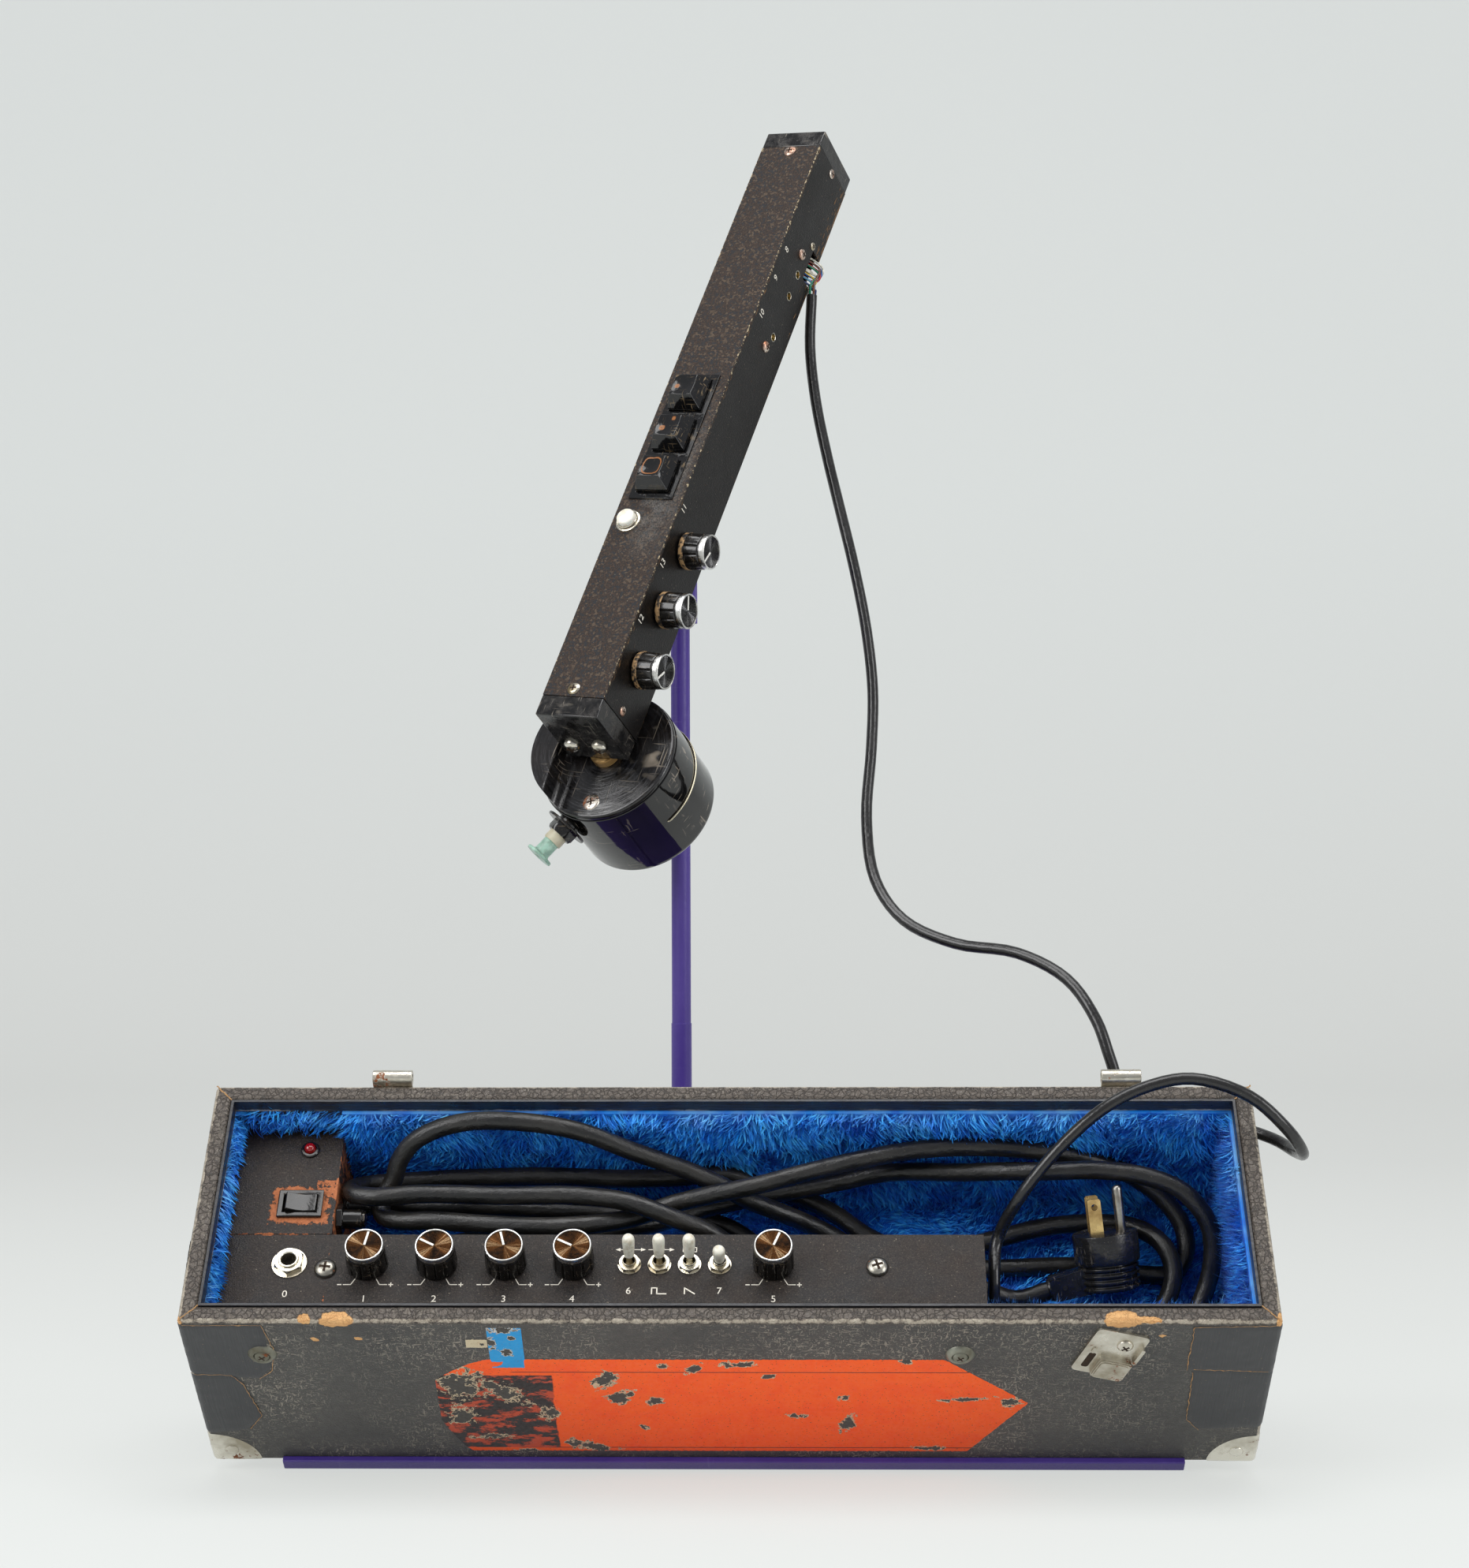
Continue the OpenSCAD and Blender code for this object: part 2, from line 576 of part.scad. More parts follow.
// Solid blocks that close the ends, each with a tenon inside the tube.
tenon_l = 9;
module wand_end_blocks() color("#101010") in_wand() {
  gap = skin_t + fit;
  translate([0, 0, -foot_h]) cube([wand_w, wand_d, foot_h]);
  translate([gap, gap, -skip]) cube([wand_w - 2 * gap, wand_d - 2 * gap, tenon_l]);
  translate([0, 0, wand_l]) cube([wand_w, wand_d, head_h]);
  translate([gap, gap, wand_l - tenon_l]) cube([wand_w - 2 * gap, wand_d - 2 * gap, tenon_l + skip]);
}

// Screws in the wand's front and right side, and two pan heads under its foot.
front_screw_at = [[18.2, 354.4 - 357.7], [16.5, 4.4]];
side_screw_at = [[18.8, 4.5, 2.6], [20.3, 235.2, 3.1], [20.8, 298.9, 3.1], [27.7, 310.5, 2.2]];
module wand_screws() color("#d9d6cd") {
  on_front(front_screw_at[0][0], wand_l + front_screw_at[0][1]) pan_head(3.4, 1.1);
  on_front(front_screw_at[1][0], front_screw_at[1][1]) pan_head(3.4, 1.1);
  for (s = side_screw_at) on_side(s[0], s[1]) pan_head(s[2], s[2] > 3 ? 1.6 : 0.8);
  on_side(19.8, wand_l - 2.6) pan_head(2.6, 0.8);
  in_wand() for (x = [8, 24]) translate([x, 27.5, -foot_h]) rotate([180, 0, 0]) pan_head(4.2, 3);
}

// Circuit board along the inside of the wand, with the side knobs' potentiometers and trimmer bodies.
wand_board_y = wand_d - skin_t - 6;
module wand_board() color("#2f6b3c") {
  in_wand() {
    translate([skin_t + fit, wand_board_y, tenon_l + 4]) cube([23, 1.6, wand_l - 2 * tenon_l - 8]);
    for (z = [220, 250, 280, 310]) translate([skin_t + 5, wand_board_y - 4, z]) cube([8, 4, 20]);
  }
  for (i = [0:2]) on_side(wand_knob_y, wand_knob_z + i * wand_knob_pitch) pot(skin_t);
  for (p = trimmer_at) on_side(p[0], p[1]) difference() {
    translate([-3.2, -3.2, -skin_t - 9]) cube([6.4, 6.4, 9]);
    translate([0, 0, -skin_t - 6]) cylinder(r = trim_r + shaft_fit, h = 20);
  }
}

// Black frame round the keys: a thin flange on the front, two rails and three switch bodies.
stem_w = 4;
switch_y = 7;
module key_frame() color("#0f0f10") in_wand() difference() {
  union() {
    translate([key_x - key_w / 2 - 3.4, -1, key_z[1] - key_slot_l / 2 - 3]) cube([key_w + 6.8, 1, key_slot_l + 6]);
    for (s = [-1, 1]) translate([key_x + s * (key_w / 2 + 0.65) - 0.35, -0.5, key_z[1] - key_slot_l / 2 + fit])
      cube([0.7, switch_y + 10.5, key_slot_l - 2 * fit]);
    for (z = key_z) translate([key_x - key_w / 2 - 0.6, switch_y, z - 8]) cube([key_w + 1.2, 10, 16]);
  }
  for (z = key_z) {
    translate([key_x - key_w / 2 - fit, -5, z - key_l / 2 - 0.4]) cube([key_w + 2 * fit, 5 + switch_y, key_l + 0.8]);
    translate([key_x - stem_w / 2 - 0.1, 0, z - stem_w / 2 - 0.1]) cube([stem_w + 0.2, switch_y + 8.5, stem_w + 0.2]);
  }
}

// A valve key: tapered cap with a dished top, and the square stem that slides in its switch.
module valve_key(i) color("#101012") in_wand() translate([key_x, 0, key_z[i]]) {
  difference() {
    union() {
      hull() {
        translate([-key_w / 2, -3, -key_l / 2]) cube([key_w, 4, key_l]);
        translate([-key_top / 2, -key_h, -key_top / 2]) cube([key_top, 1, key_top]);
      }
      translate([-stem_w / 2, 0, -stem_w / 2]) cube([stem_w, switch_y + 4.5, stem_w]);
    }
    translate([0, -key_h - 34.2, 0]) sphere(r = 35, $fn = 64);
  }
}
module valve_key_1() valve_key(0);
module valve_key_2() valve_key(1);
module valve_key_3() valve_key(2);

// White button in a plated bush, with its switch body behind the sheet.
bush_r = 5.7;
bush_h = 2.4;
module push_button() color("#e8e6de") on_front(button_at[0], button_at[1]) {
  translate([0, 0, -6]) cylinder(d = button_d, h = 6 + bush_h + 2.2);
  translate([0, 0, bush_h + 2.2 - skip]) intersection() {
    translate([0, 0, -8]) sphere(r = 9.38);
    cylinder(d = button_d, h = 3);
  }
}
module button_bush() color("#bdb9ae") on_front(button_at[0], button_at[1]) difference() {
  union() {
    translate([0, 0, -skin_t]) cylinder(r = bush_r, h = skin_t + bush_h);
    cylinder(r = bush_r + 1, h = 0.8);
    translate([0, 0, -skin_t - 10]) cylinder(r = bush_r + 0.6, h = 10);
  }
  translate([0, 0, -skin_t - 8.5]) cylinder(d = button_d + 2 * shaft_fit + 0.1, h = 20);
}

wand_knob_turn = [150, 35, 165];   // pointer angle from the wand's upper end, seen from the side
module wand_knob(i) color("#17171a") on_side(wand_knob_y, wand_knob_z + i * wand_knob_pitch, wand_knob_turn[i])
  knob();
module wand_knob_1() wand_knob(0);
module wand_knob_2() wand_knob(1);
module wand_knob_3() wand_knob(2);

// Screwdriver-slot trimmers behind three holes in the side.
trim_r = 1.6;
module trimmer(i) color("#caa24a") on_side(trimmer_at[i][0], trimmer_at[i][1]) difference() {
  translate([0, 0, -skin_t - 5.5]) cylinder(r = trim_r, h = 6);
  translate([-2, -0.3, -skin_t - 0.2]) cube([4, 0.6, 2]);
}
module trimmer_1() trimmer(0);
module trimmer_2() trimmer(1);
module trimmer_3() trimmer(2);

// ---- octave canister ----

drum_r = drum_d / 2;
plate_r = drum_r - 0.4;
module on_axis(y) in_wand() translate([axis_x, y, axis_z]) rotate([-90, 0, 0]) children();

// Fixed top plate with a countersunk screw.
module canister_plate() color("#17171a") on_axis(plate_y) difference() {
  cylinder(r = plate_r, h = plate_t, $fn = 96);
  translate([0, 0, -1]) cylinder(d = axle_d + 0.2, h = plate_t + 2);
}

// Raised block on the left of the plate, cut off straight to clear the wand.
module thumb_block() color("#141416") on_axis(plate_y) {
  translate([0, 0, -thumb_h]) intersection() {
    cylinder(r = plate_r - 0.3, h = thumb_h, $fn = 96);
    rotate([0, 0, -4]) translate([-plate_r - wand_w / 2 - 3.8, -plate_r, 0]) cube([plate_r, plate_r * 2, thumb_h]);
  }
  translate([1.4, 27.4, -0.8]) difference() {
    cylinder(r1 = 3.9, r2 = 4.3, h = 0.8);
    translate([0, 0, -0.1]) cylinder(r = 1.2, h = 0.5, $fn = 6);
  }
}

// Axle from the wand's foot to the drum's floor, and the round wooden spacer on it.
spacer_r = 7.4;
module canister_axle() color("#a9834a") on_axis(wand_d) {
  difference() {
    cylinder(r = spacer_r, h = plate_gap);
    translate([0, 0, -1]) cylinder(d = axle_d + 0.2, h = plate_gap + 2);
  }
  cylinder(d = axle_d, h = plate_gap + plate_t + fit + drum_h - drum_t - 1);
}

// Drum that turns under the plate: wall, closed far end and a hub that runs on the axle.
hub_h = 14;
module octave_drum() color("#0e0e0f") on_axis(drum_y) difference() {
  union() {
    ring(drum_r - drum_t, drum_r, drum_h, $fn = 96);
    translate([0, 0, drum_h - drum_t]) cylinder(r = drum_r - drum_t + skip, h = drum_t, $fn = 96);
    translate([0, 0, drum_h - drum_t - hub_h]) cylinder(d = axle_d + 8, h = hub_h + skip);
  }
  translate([0, 0, drum_h - drum_t - hub_h - 1]) cylinder(d = axle_d + 2 * shaft_fit, h = hub_h);
}

// Bare wire contact round a quarter of the drum.
module touch_wire() color("#e6e2d2") on_axis(drum_y + 23) rotate([0, 0, -70])
  rotate_extrude(angle = 102, $fn = 96) translate([drum_r + 0.55, 0]) circle(r = 0.5, $fn = 16);

// Breath inlet on the drum's side: flange, nut, collar and a spool-shaped nipple for a tube.
module breath_fitting() color("#a9cdb9") in_wand() translate([axis_x, fitting_y, axis_z])
  rotate([0, -fitting_turn, 0]) rotate([0, 90, 0]) translate([0, 0, drum_r - 0.2]) difference() {
    union() {
      translate([0, 0, 0]) cylinder(r = 6, h = 1.6);
      translate([0, 0, 1.6]) cylinder(r = 11.5, h = 1.4);
      translate([0, 0, 3]) cylinder(d = 12.7 / cos(30), h = 5, $fn = 6);
      translate([0, 0, 8]) cylinder(r = 5, h = 5);
      translate([0, 0, 13]) cylinder(d = nipple_d, h = 8);
      translate([0, 0, 21]) cylinder(r = 7.4, h = 1.8);
    }
    translate([0, 0, 4]) cylinder(d = nipple_bore_d, h = 30);
    translate([0, 0, -drum_r + 0.2]) rotate([90, 0, 0])
      translate([0, 0, -20]) cylinder(r = drum_r + 0.02, h = 40, $fn = 96);
  }

// ---- display stand ----

module stand_base() color("#4d3c8c") {
  box([-base_w / 2, -base_d / 2, 0], [base_w / 2, base_d / 2, base_t]);
  translate([pole_at[0], pole_at[1], base_t]) ring(pole_d / 2 + 0.6, pole_d / 2 + 7, 14);
}

// Sloping deck with a low lip in front, on three gussets that stand on the base plate.
module stand_deck() color("#5f52a8") {
  in_case() {
    box([-lip_w / 2, -deck_t, -deck_t], [lip_w / 2, deck_l, 0]);
    box([-lip_w / 2, -deck_t, -deck_t], [lip_w / 2, 0, lip_h]);
  }
  for (x = [-base_w / 2 + 20, -1.5, base_w / 2 - 23]) intersection() {
    translate([x, 2 - base_d / 2, base_t]) cube([3, deck_l * cos(tilt) - 10, deck_l]);
    in_case() translate([x - 1, -deck_l, -deck_t - 3 * deck_l]) cube([5, 2 * deck_l, 3 * deck_l + skip]);
  }
}

// Pole in two diameters, and the cradle on its top that is screwed to the wand's back.
cradle_z = [88, 142];
cradle_t = 3;
pole_top = 449;
module behind_wand() in_wand() translate([-wand_l, wand_d, -wand_l]) cube(3 * wand_l);
module stand_pole() color("#3c2a78") {
  translate([pole_at[0], pole_at[1], base_t]) cylinder(r = pole_d / 2 + 0.3, h = sleeve_h - base_t);
  translate([pole_at[0], pole_at[1], sleeve_h]) cylinder(d = pole_d, h = pole_top - sleeve_h);
  difference() {
    union() {
      in_wand() translate([3, wand_d, cradle_z[0]]) cube([wand_w - 6, cradle_t, cradle_z[1] - cradle_z[0]]);
      intersection() {
        translate([pole_at[0], pole_at[1], pole_top - 42]) cylinder(r = 9, h = 60);
        behind_wand();
      }
    }
    translate([pole_at[0], pole_at[1], 0]) cylinder(r = pole_d / 2 + 0.05, h = pole_top + 0.1);
  }
}

// ---- cords ----

function unit(v) = v / norm(v);
function square_to(v, t) = unit(v - t * (v * t));
function headings(p) = [for (i = [0:len(p) - 1]) unit(p[min(i + 1, len(p) - 1)] - p[max(i - 1, 0)])];
function carried(t) = [for (i = 0, n = square_to([0.1, 0.3, 1], t[0]); i < len(t);
                            i = i + 1, n = square_to(n, t[min(i, len(t) - 1)])) n];
module tube(path, d, sides) {
  t = headings(path);
  n = carried(t);
  rings = [for (i = [0:len(path) - 1], k = [0:sides - 1])
    path[i] + d / 2 * (n[i] * cos(360 * k / sides) + cross(t[i], n[i]) * sin(360 * k / sides))];
  last = (len(path) - 1) * sides;
  polyhedron(rings, concat(
    [[for (k = [0:sides - 1]) k]],
    [for (i = [0:len(path) - 2], k = [0:sides - 1]) [
      i * sides + k, (i + 1) * sides + k, (i + 1) * sides + (k + 1) % sides, i * sides + (k + 1) % sides]],
    [[for (k = [sides - 1:-1:0]) last + k]]), convexity = 10);
}

// Mains plug with two flat blades and a round earth pin that point up. Its strain relief leans to the left.
plug_at = [175, 78, fur_z + 38];   // middle of the face that the blades stand on, in the case frame
plug_lean = -6.5;
plug_r = 15.4;
relief_at = [-28, 0, -24.6];  // end of the strain relief, in the plug's frame
relief_lean = -9;
function turn_x(v, a) = [v[0], v[1] * cos(a) - v[2] * sin(a), v[1] * sin(a) + v[2] * cos(a)];
function turn_y(v, a) = [v[0] * cos(a) + v[2] * sin(a), v[1], -v[0] * sin(a) + v[2] * cos(a)];
function from_plug(v) = plug_at + turn_x(turn_y(v, plug_lean), -tilt);
module mains_plug() color("#1a1a1c") in_case() translate(plug_at) rotate([-tilt, 0, 0]) rotate([0, plug_lean, 0]) {
  translate([0, 0, -14]) cylinder(r = plug_r, h = 14);
  translate([0, 0, -27]) cylinder(r = plug_r - 2.4, h = 13 + skip);
  for (i = [0:3]) translate([0, 0, -26.5 + 3.1 * i]) cylinder(r = plug_r - 1.2, h = 1.9);
  translate(relief_at) rotate([0, relief_lean, 0]) translate([0, -6, -6.2]) cube([18, 12, 12.4]);
  for (y = [-6.35, 6.35]) translate([-3.9, y, 0]) difference() {
    translate([-3.1, -0.75, -skip]) cube([6.2, 1.5, 16]);
    translate([0, 5, 12.6]) rotate([90, 0, 0]) cylinder(r = 1.5, h = 10);
  }
  translate([8, 0, -skip]) cylinder(r = 2.4, h = 18.6);
  translate([8, 0, 18.5]) sphere(r = 2.4);
}

// Mains cord, in the case frame: from its gland, laid by hand in long loops along the bay, to the plug.
// The middle of both routes is given for a fur floor 37 mm above the case's underside, and follows it.
seat = 0.1;                   // gap between a cord's end and the face that it meets
function on_floor(p) = p + [0, 0, fur_z - 37];
mains_loops = [[-146, 93, 74], [-116, 91, 76], [-88, 90, 75], [-65, 92, 71],
  [-44, 96, 63], [-24, 99, 56], [-3, 98, 50], [13, 88, 44], [18, 70, 42], [9, 52, 42], [-14, 39, 42], [-50, 33, 42],
  [-90, 31, 42], [-126, 33, 42], [-149, 42, 45], [-157, 56, 53], [-149, 68, 65], [-128, 72, 74], [-100, 71, 79],
  [-72, 73, 79], [-53, 79, 75], [-36, 86, 70], [-14, 97, 66], [8, 104, 65], [30, 108, 66], [52, 111, 69],
  [75, 112, 75], [108, 109, 79], [130, 106, 84], [148, 103, 88], [172, 103, 89], [193, 100, 89], [212, 93, 86],
  [224, 82, 76], [226, 70, 62], [221, 57, 49], [211, 42, 42], [194, 29, 42], [168, 22, 42], [130, 21, 42],
  [95, 23, 42], [66, 29, 42], [42, 39, 45], [25, 51, 52], [11, 62, 62], [0, 69, 74], [-10, 71, 84], [-26, 73, 92],
  [-48, 80, 95.5], [-72, 84, 95], [-108, 84, 95], [-145, 85, 95], [-167, 84, 94], [-178, 88, 91], [-180, 95, 85],
  [-173, 102, 79], [-155, 106, 76], [-125, 108, 76], [-89, 109, 76], [-55, 109, 74], [-28, 112, 71], [-4, 115, 69],
  [17, 115, 58], [37, 111, 53], [51, 104, 50], [64, 95, 47], [80, 89, 44], [100, 88, 44], [125, 92, 48],
  [147, 96, 52], [170, 96, 56], [191, 91, 60], [204, 79, 62], [208, 67, 57], [203, 54, 49], [189, 44, 43],
  [166, 41, 42], [138, 41, 42], [112, 50, 42], [90, 65, 42], [69, 79, 44], [54, 88, 50], [38, 93, 58], [22, 94, 68],
  [8, 95, 76], [-6, 99, 83], [-22, 104, 88], [-46, 107, 98], [-72, 111, 109], [-100, 112, 115], [-128, 112, 114],
  [-148, 108, 107], [-157, 103, 97], [-160, 98, 89], [-165, 91, 82.5], [-165, 83, 81.5], [-157, 77, 85],
  [-139, 74, 89], [-112, 71, 90], [-85, 70, 90], [-63, 73, 88], [-46, 79, 84.5], [-28, 87, 84], [-8, 90, 88],
  [12, 92, 92], [36, 99, 93], [64, 107, 93], [90, 113, 92], [121, 115, 91], [150, 115, 87], [174, 115, 79],
  [192, 113, 70], [206, 106, 62], [215, 95, 55], [216, 84, 49], [210, 76, 44], [197, 76, 42], [178, 80, 42],
  [158, 81, 42], [136, 80, 42], [118, 79, 42], [104, 76, 44], [96, 68, 51], [102, 60, 56], [117, 57, 58]];
mains_route = concat(
  [for (x = [seat, 6]) gland_at + [gland_l + x, 0, 0]], [for (p = mains_loops) on_floor(p)],
  [for (x = [17, seat]) from_plug(relief_at - x * [cos(relief_lean), 0, -sin(relief_lean)])]);
module power_cord() color("#1d1c1c") in_case() tube(mains_route, mains_d, 8);

// The wand's cable: hangs from the wand, passes behind the case and round its right side, comes in over
// the rim and turns in the bay to its socket. The first list is in the row frame from the case's front
// edge, the second in the case frame.
cable_hang = [
  [40, 205, 587], [39, 200, 558], [42, 193, 528], [48, 185, 497], [54, 178, 471], [62, 168, 436], [68, 160, 403],
  [71, 154, 372], [70, 144, 342], [67, 130, 305], [71, 114, 274], [85, 100, 254], [110, 86, 243], [140, 70, 239],
  [163, 56, 227], [176, 44, 208], [182, 38, 190], [187, 38, 176], [199, 42, 163], [221, 45, 157], [243, 44, 156],
  [259, 32, 152], [267, 14, 148], [267, -6, 150], [258, -20, 162], [240, -22, 178], [214, -20, 186],
  [192, -20, 182], [172, -22, 172], [151, -22, 153], [134, -20, 131], [124, -12, 110]];
cable_bay = [
  [122, 50, 78], [122, 38, 68], [125, 26, 59], [137, 19, 54], [158, 16, 53], [181, 15, 54],
  [198, 17, 56], [209, 24, 57], [210, 34, 57], [199, 41, 57], [178, 40, 54.5], [150, 36, 51], [122, 33, 50], [95, 34, 52],
  [70, 33, 57], [55, 33, 61.5]];
function from_case(p) = [0, case_y, case_lift] + turn_x(p, tilt);
cable_route = concat(
  [for (p = cable_hang) p + [0, case_y, 0]], [for (p = cable_bay) from_case(on_floor(p))],
  [for (x = [6, seat]) from_case(socket_at + [socket_l + x, 0, 0])]);
module wand_cable() color("#161616") tube(cable_route, cable_d, 8);

// Least gap of a laid tube to itself, between points more than four diameters apart along it.
function self_gap(path, d) = let (run = [for (i = 0, s = 0; i < len(path);
    s = s + (i + 1 < len(path) ? norm(path[i + 1] - path[i]) : 0), i = i + 1) s])
  min([for (i = [0:len(path) - 2], j = [i + 1:len(path) - 2]) if (run[j] - run[i] > 4 * d)
    for (a = [0, 0.5], b = [0, 0.5])
      norm(path[i] + (path[i + 1] - path[i]) * a - path[j] - (path[j + 1] - path[j]) * b)]) - d;
echo(mains_gap = self_gap(mains_route, mains_d));
echo(cable_gap = self_gap(cable_route, cable_d));

// Bared conductors that fan out of the wand's slot and gather at the end of the cable's jacket.
conductor_d = 1.3;
function turn_z(v, a) = [v[0] * cos(a) - v[1] * sin(a), v[0] * sin(a) + v[1] * cos(a), v[2]];
function from_wand(p) = wand_at + turn_z(turn_y(turn_x(p, wand_turn[0]), wand_turn[1]), wand_turn[2]);
module wand_conductors() color("#3a8f7a") {
  out = unit(cable_route[0] - cable_route[1]);
  side = square_to([1, 0, 0], out);
  for (i = [0:5]) {
    z = slot_z[0] + 3 + 2.7 * i;
    end = cable_route[0] + 1.9 * (side * cos(60 * i) + cross(out, side) * sin(60 * i));
    tube([from_wand([wand_w - 5, wand_d - 5, z]), from_wand([wand_w - 2.6, wand_d - 2.2, z]),
      from_wand([wand_w - 0.6, wand_d + 0.6, z - 0.2]), from_wand([wand_w + 0.9, wand_d + 2.9 - 0.2 * i, z - 1.5]),
      end + out * (3 + 0.5 * i), end + out * 1.5, end], conductor_d, 6);
  }
}

// ---- assembly ----

case_front();
case_back();
case_sides();
floor_boards();
rim_band();
fur_lining();
corner_caps();
hinge_leaves();
front_hardware();
control_panel();
power_box();
panel_screws();
main_board();
toggle_switches();
toggle_lever_1();
toggle_lever_2();
toggle_lever_3();
toggle_lever_4();
signal_jack();
indicator_light();
rocker_bezel();
power_rocker();
transformer();
cord_gland();
fuse_holder();
volume_knob();
breath_knob();
resonance_knob();
detune_knob();
tuning_knob();
wand_front();
wand_back();
wand_end_blocks();
wand_screws();
wand_board();
key_frame();
valve_key_1();
valve_key_2();
valve_key_3();
push_button();
button_bush();
wand_knob_1();
wand_knob_2();
wand_knob_3();
trimmer_1();
trimmer_2();
trimmer_3();
canister_plate();
thumb_block();
canister_axle();
octave_drum();
touch_wire();
breath_fitting();
stand_base();
stand_deck();
stand_pole();
power_cord();
mains_plug();
wand_cable();
wand_conductors();
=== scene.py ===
import math
import random
import bmesh
import bpy
from mathutils import Euler, Matrix, Vector, noise


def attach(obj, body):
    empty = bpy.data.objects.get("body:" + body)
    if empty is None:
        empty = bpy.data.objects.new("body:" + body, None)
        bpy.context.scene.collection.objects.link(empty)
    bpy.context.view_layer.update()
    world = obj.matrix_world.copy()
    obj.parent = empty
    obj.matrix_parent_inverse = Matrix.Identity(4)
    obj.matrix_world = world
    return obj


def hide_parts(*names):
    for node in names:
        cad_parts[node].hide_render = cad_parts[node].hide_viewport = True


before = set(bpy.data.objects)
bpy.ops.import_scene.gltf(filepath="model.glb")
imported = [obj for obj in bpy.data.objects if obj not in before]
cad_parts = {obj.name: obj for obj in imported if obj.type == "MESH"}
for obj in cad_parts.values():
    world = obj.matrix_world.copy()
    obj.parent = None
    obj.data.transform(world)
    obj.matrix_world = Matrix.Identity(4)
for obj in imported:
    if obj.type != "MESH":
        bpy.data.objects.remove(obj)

# ---- Camera, paper sweep and light ----
# The photograph looks level at the instrument through a long lens, a step and a half in front of the case.
# Table and wall are one pale sweep of paper, lit by large soft lights from the left, the right and above.
scene = bpy.context.scene
scene.view_settings.view_transform = "Standard"
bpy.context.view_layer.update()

lens = bpy.data.cameras.new("camera")
lens.lens, lens.sensor_width, lens.clip_start, lens.clip_end = 67.06, 36, 0.05, 30
camera = bpy.data.objects.new("camera", lens)
camera.location = (0.0332, -1.5127, 0.3230)
camera.rotation_euler = (math.radians(90), math.radians(0.19), math.radians(1.30))
scene.collection.objects.link(camera)
scene.camera = camera


def shade(red, green, blue):
    """A colour as a picture shows it, 0 to 255, turned into light."""
    return tuple(c / 12.92 if (c := v / 255) <= 0.04045 else ((c + 0.055) / 1.055) ** 2.4
                 for v in (red, green, blue))


def wire(tree, node, sockets):
    """Sets a node's inputs: a plain value, or another node's output to link. _3 means input number 3."""
    for name, value in sockets.items():
        socket = node.inputs[int(name[1:]) if name[0] == "_" else name.replace("_", " ")]
        if isinstance(value, bpy.types.NodeSocket):
            tree.links.new(value, socket)
        elif isinstance(value, tuple) and len(value) == 3 and socket.type == "RGBA":
            socket.default_value = (*value, 1)
        else:
            socket.default_value = value
    return node


def add(tree, kind, settings=None, **sockets):
    """Adds a node with its settings, wires its inputs and gives back the node."""
    node = tree.nodes.new(kind)
    for name, value in (settings or {}).items():
        setattr(node, name, value)
    return wire(tree, node, sockets)


def calc(operation, *values, kind="ShaderNodeMath", **sockets):
    """The first output of one Math node, put in the tree that its values come from."""
    tree = next(v.id_data for v in values if isinstance(v, bpy.types.NodeSocket))
    inputs = {f"_{i}": value for i, value in enumerate(values)}
    return add(tree, kind, {"operation": operation}, **inputs, **sockets).outputs[0]


def vector(operation, *values, **sockets):
    return calc(operation, *values, kind="ShaderNodeVectorMath", **sockets)


def row_of(operation):
    """A function that runs a row of values through one operation, two at a time."""
    def run(total, *others):
        for value in others:
            total = calc(operation, total, value)
        return total
    return run


plus, times, most, minus = [row_of(operation) for operation in ("ADD", "MULTIPLY", "MAXIMUM", "SUBTRACT")]


def apart(a, b):
    """How far one value is from another."""
    return calc("ABSOLUTE", minus(a, b))


def blend_of(factor, a, b):
    """The output of one colour Mix node."""
    return add(factor.id_data, "ShaderNodeMix", {"data_type": "RGBA"}, _0=factor, _6=a, _7=b).outputs[2]


def between(value, low, high, a=0.0, b=1.0):
    """value from low to high becomes a to b, and stops there."""
    return add(value.id_data, "ShaderNodeMapRange", _0=value, _1=low, _2=high, _3=a, _4=b).outputs[0]


def cloud(place, scale, detail=3.0, rough=0.55, twist=0.0):
    """The grey value of a Noise texture."""
    return add(place.id_data, "ShaderNodeTexNoise", Vector=place, Scale=scale, Detail=detail, Roughness=rough,
               Distortion=twist).outputs[0]


def stretched(place, scale, turn=(0, 0, 0)):
    """A place turned and scaled."""
    return add(place.id_data, "ShaderNodeMapping", Vector=place, Rotation=turn, Scale=scale).outputs[0]


def axes(place):
    """X, Y and Z of a place."""
    return add(place.id_data, "ShaderNodeSeparateXYZ", _0=place).outputs


def from_axis(xyz):
    """How far a place is from its Z axis."""
    return calc("SQRT", plus(times(xyz[0], xyz[0]), times(xyz[1], xyz[1])))


def move(x, y, z):
    return Matrix.Translation((x, y, z))


def spin(degrees, axis):
    return Matrix.Rotation(math.radians(degrees), 4, axis)


paper = bpy.data.materials.new("paper")
paper.use_nodes = True
tree = paper.node_tree
tree.nodes.clear()
split = axes(add(tree, "ShaderNodeTexCoord").outputs["Object"])
# Painted shade: the paper's seen colour darkens towards the back of the floor and turns lighter up the wall,
# the lights' falloff painted in.
far = between(split[1], -0.35, 1.0)
high = between(split[2], 0.0, 0.7)
paper_colour_with_painted_falloff = blend_of(high, blend_of(far, shade(235, 238, 235), shade(214, 216, 213)), shade(222, 226, 224))
path = add(tree, "ShaderNodeLightPath")
seen = most(path.outputs["Is Camera Ray"], most(path.outputs["Is Glossy Ray"],
                                                                  path.outputs["Is Transmission Ray"]))
lit = add(tree, "ShaderNodeBsdfDiffuse", Color=(0.72, 0.74, 0.73))
glow = add(tree, "ShaderNodeEmission", Color=paper_colour_with_painted_falloff, Strength=1.0)
both = add(tree, "ShaderNodeMixShader", _0=times(seen, 0.72), _1=lit.outputs[0], _2=glow.outputs[0])
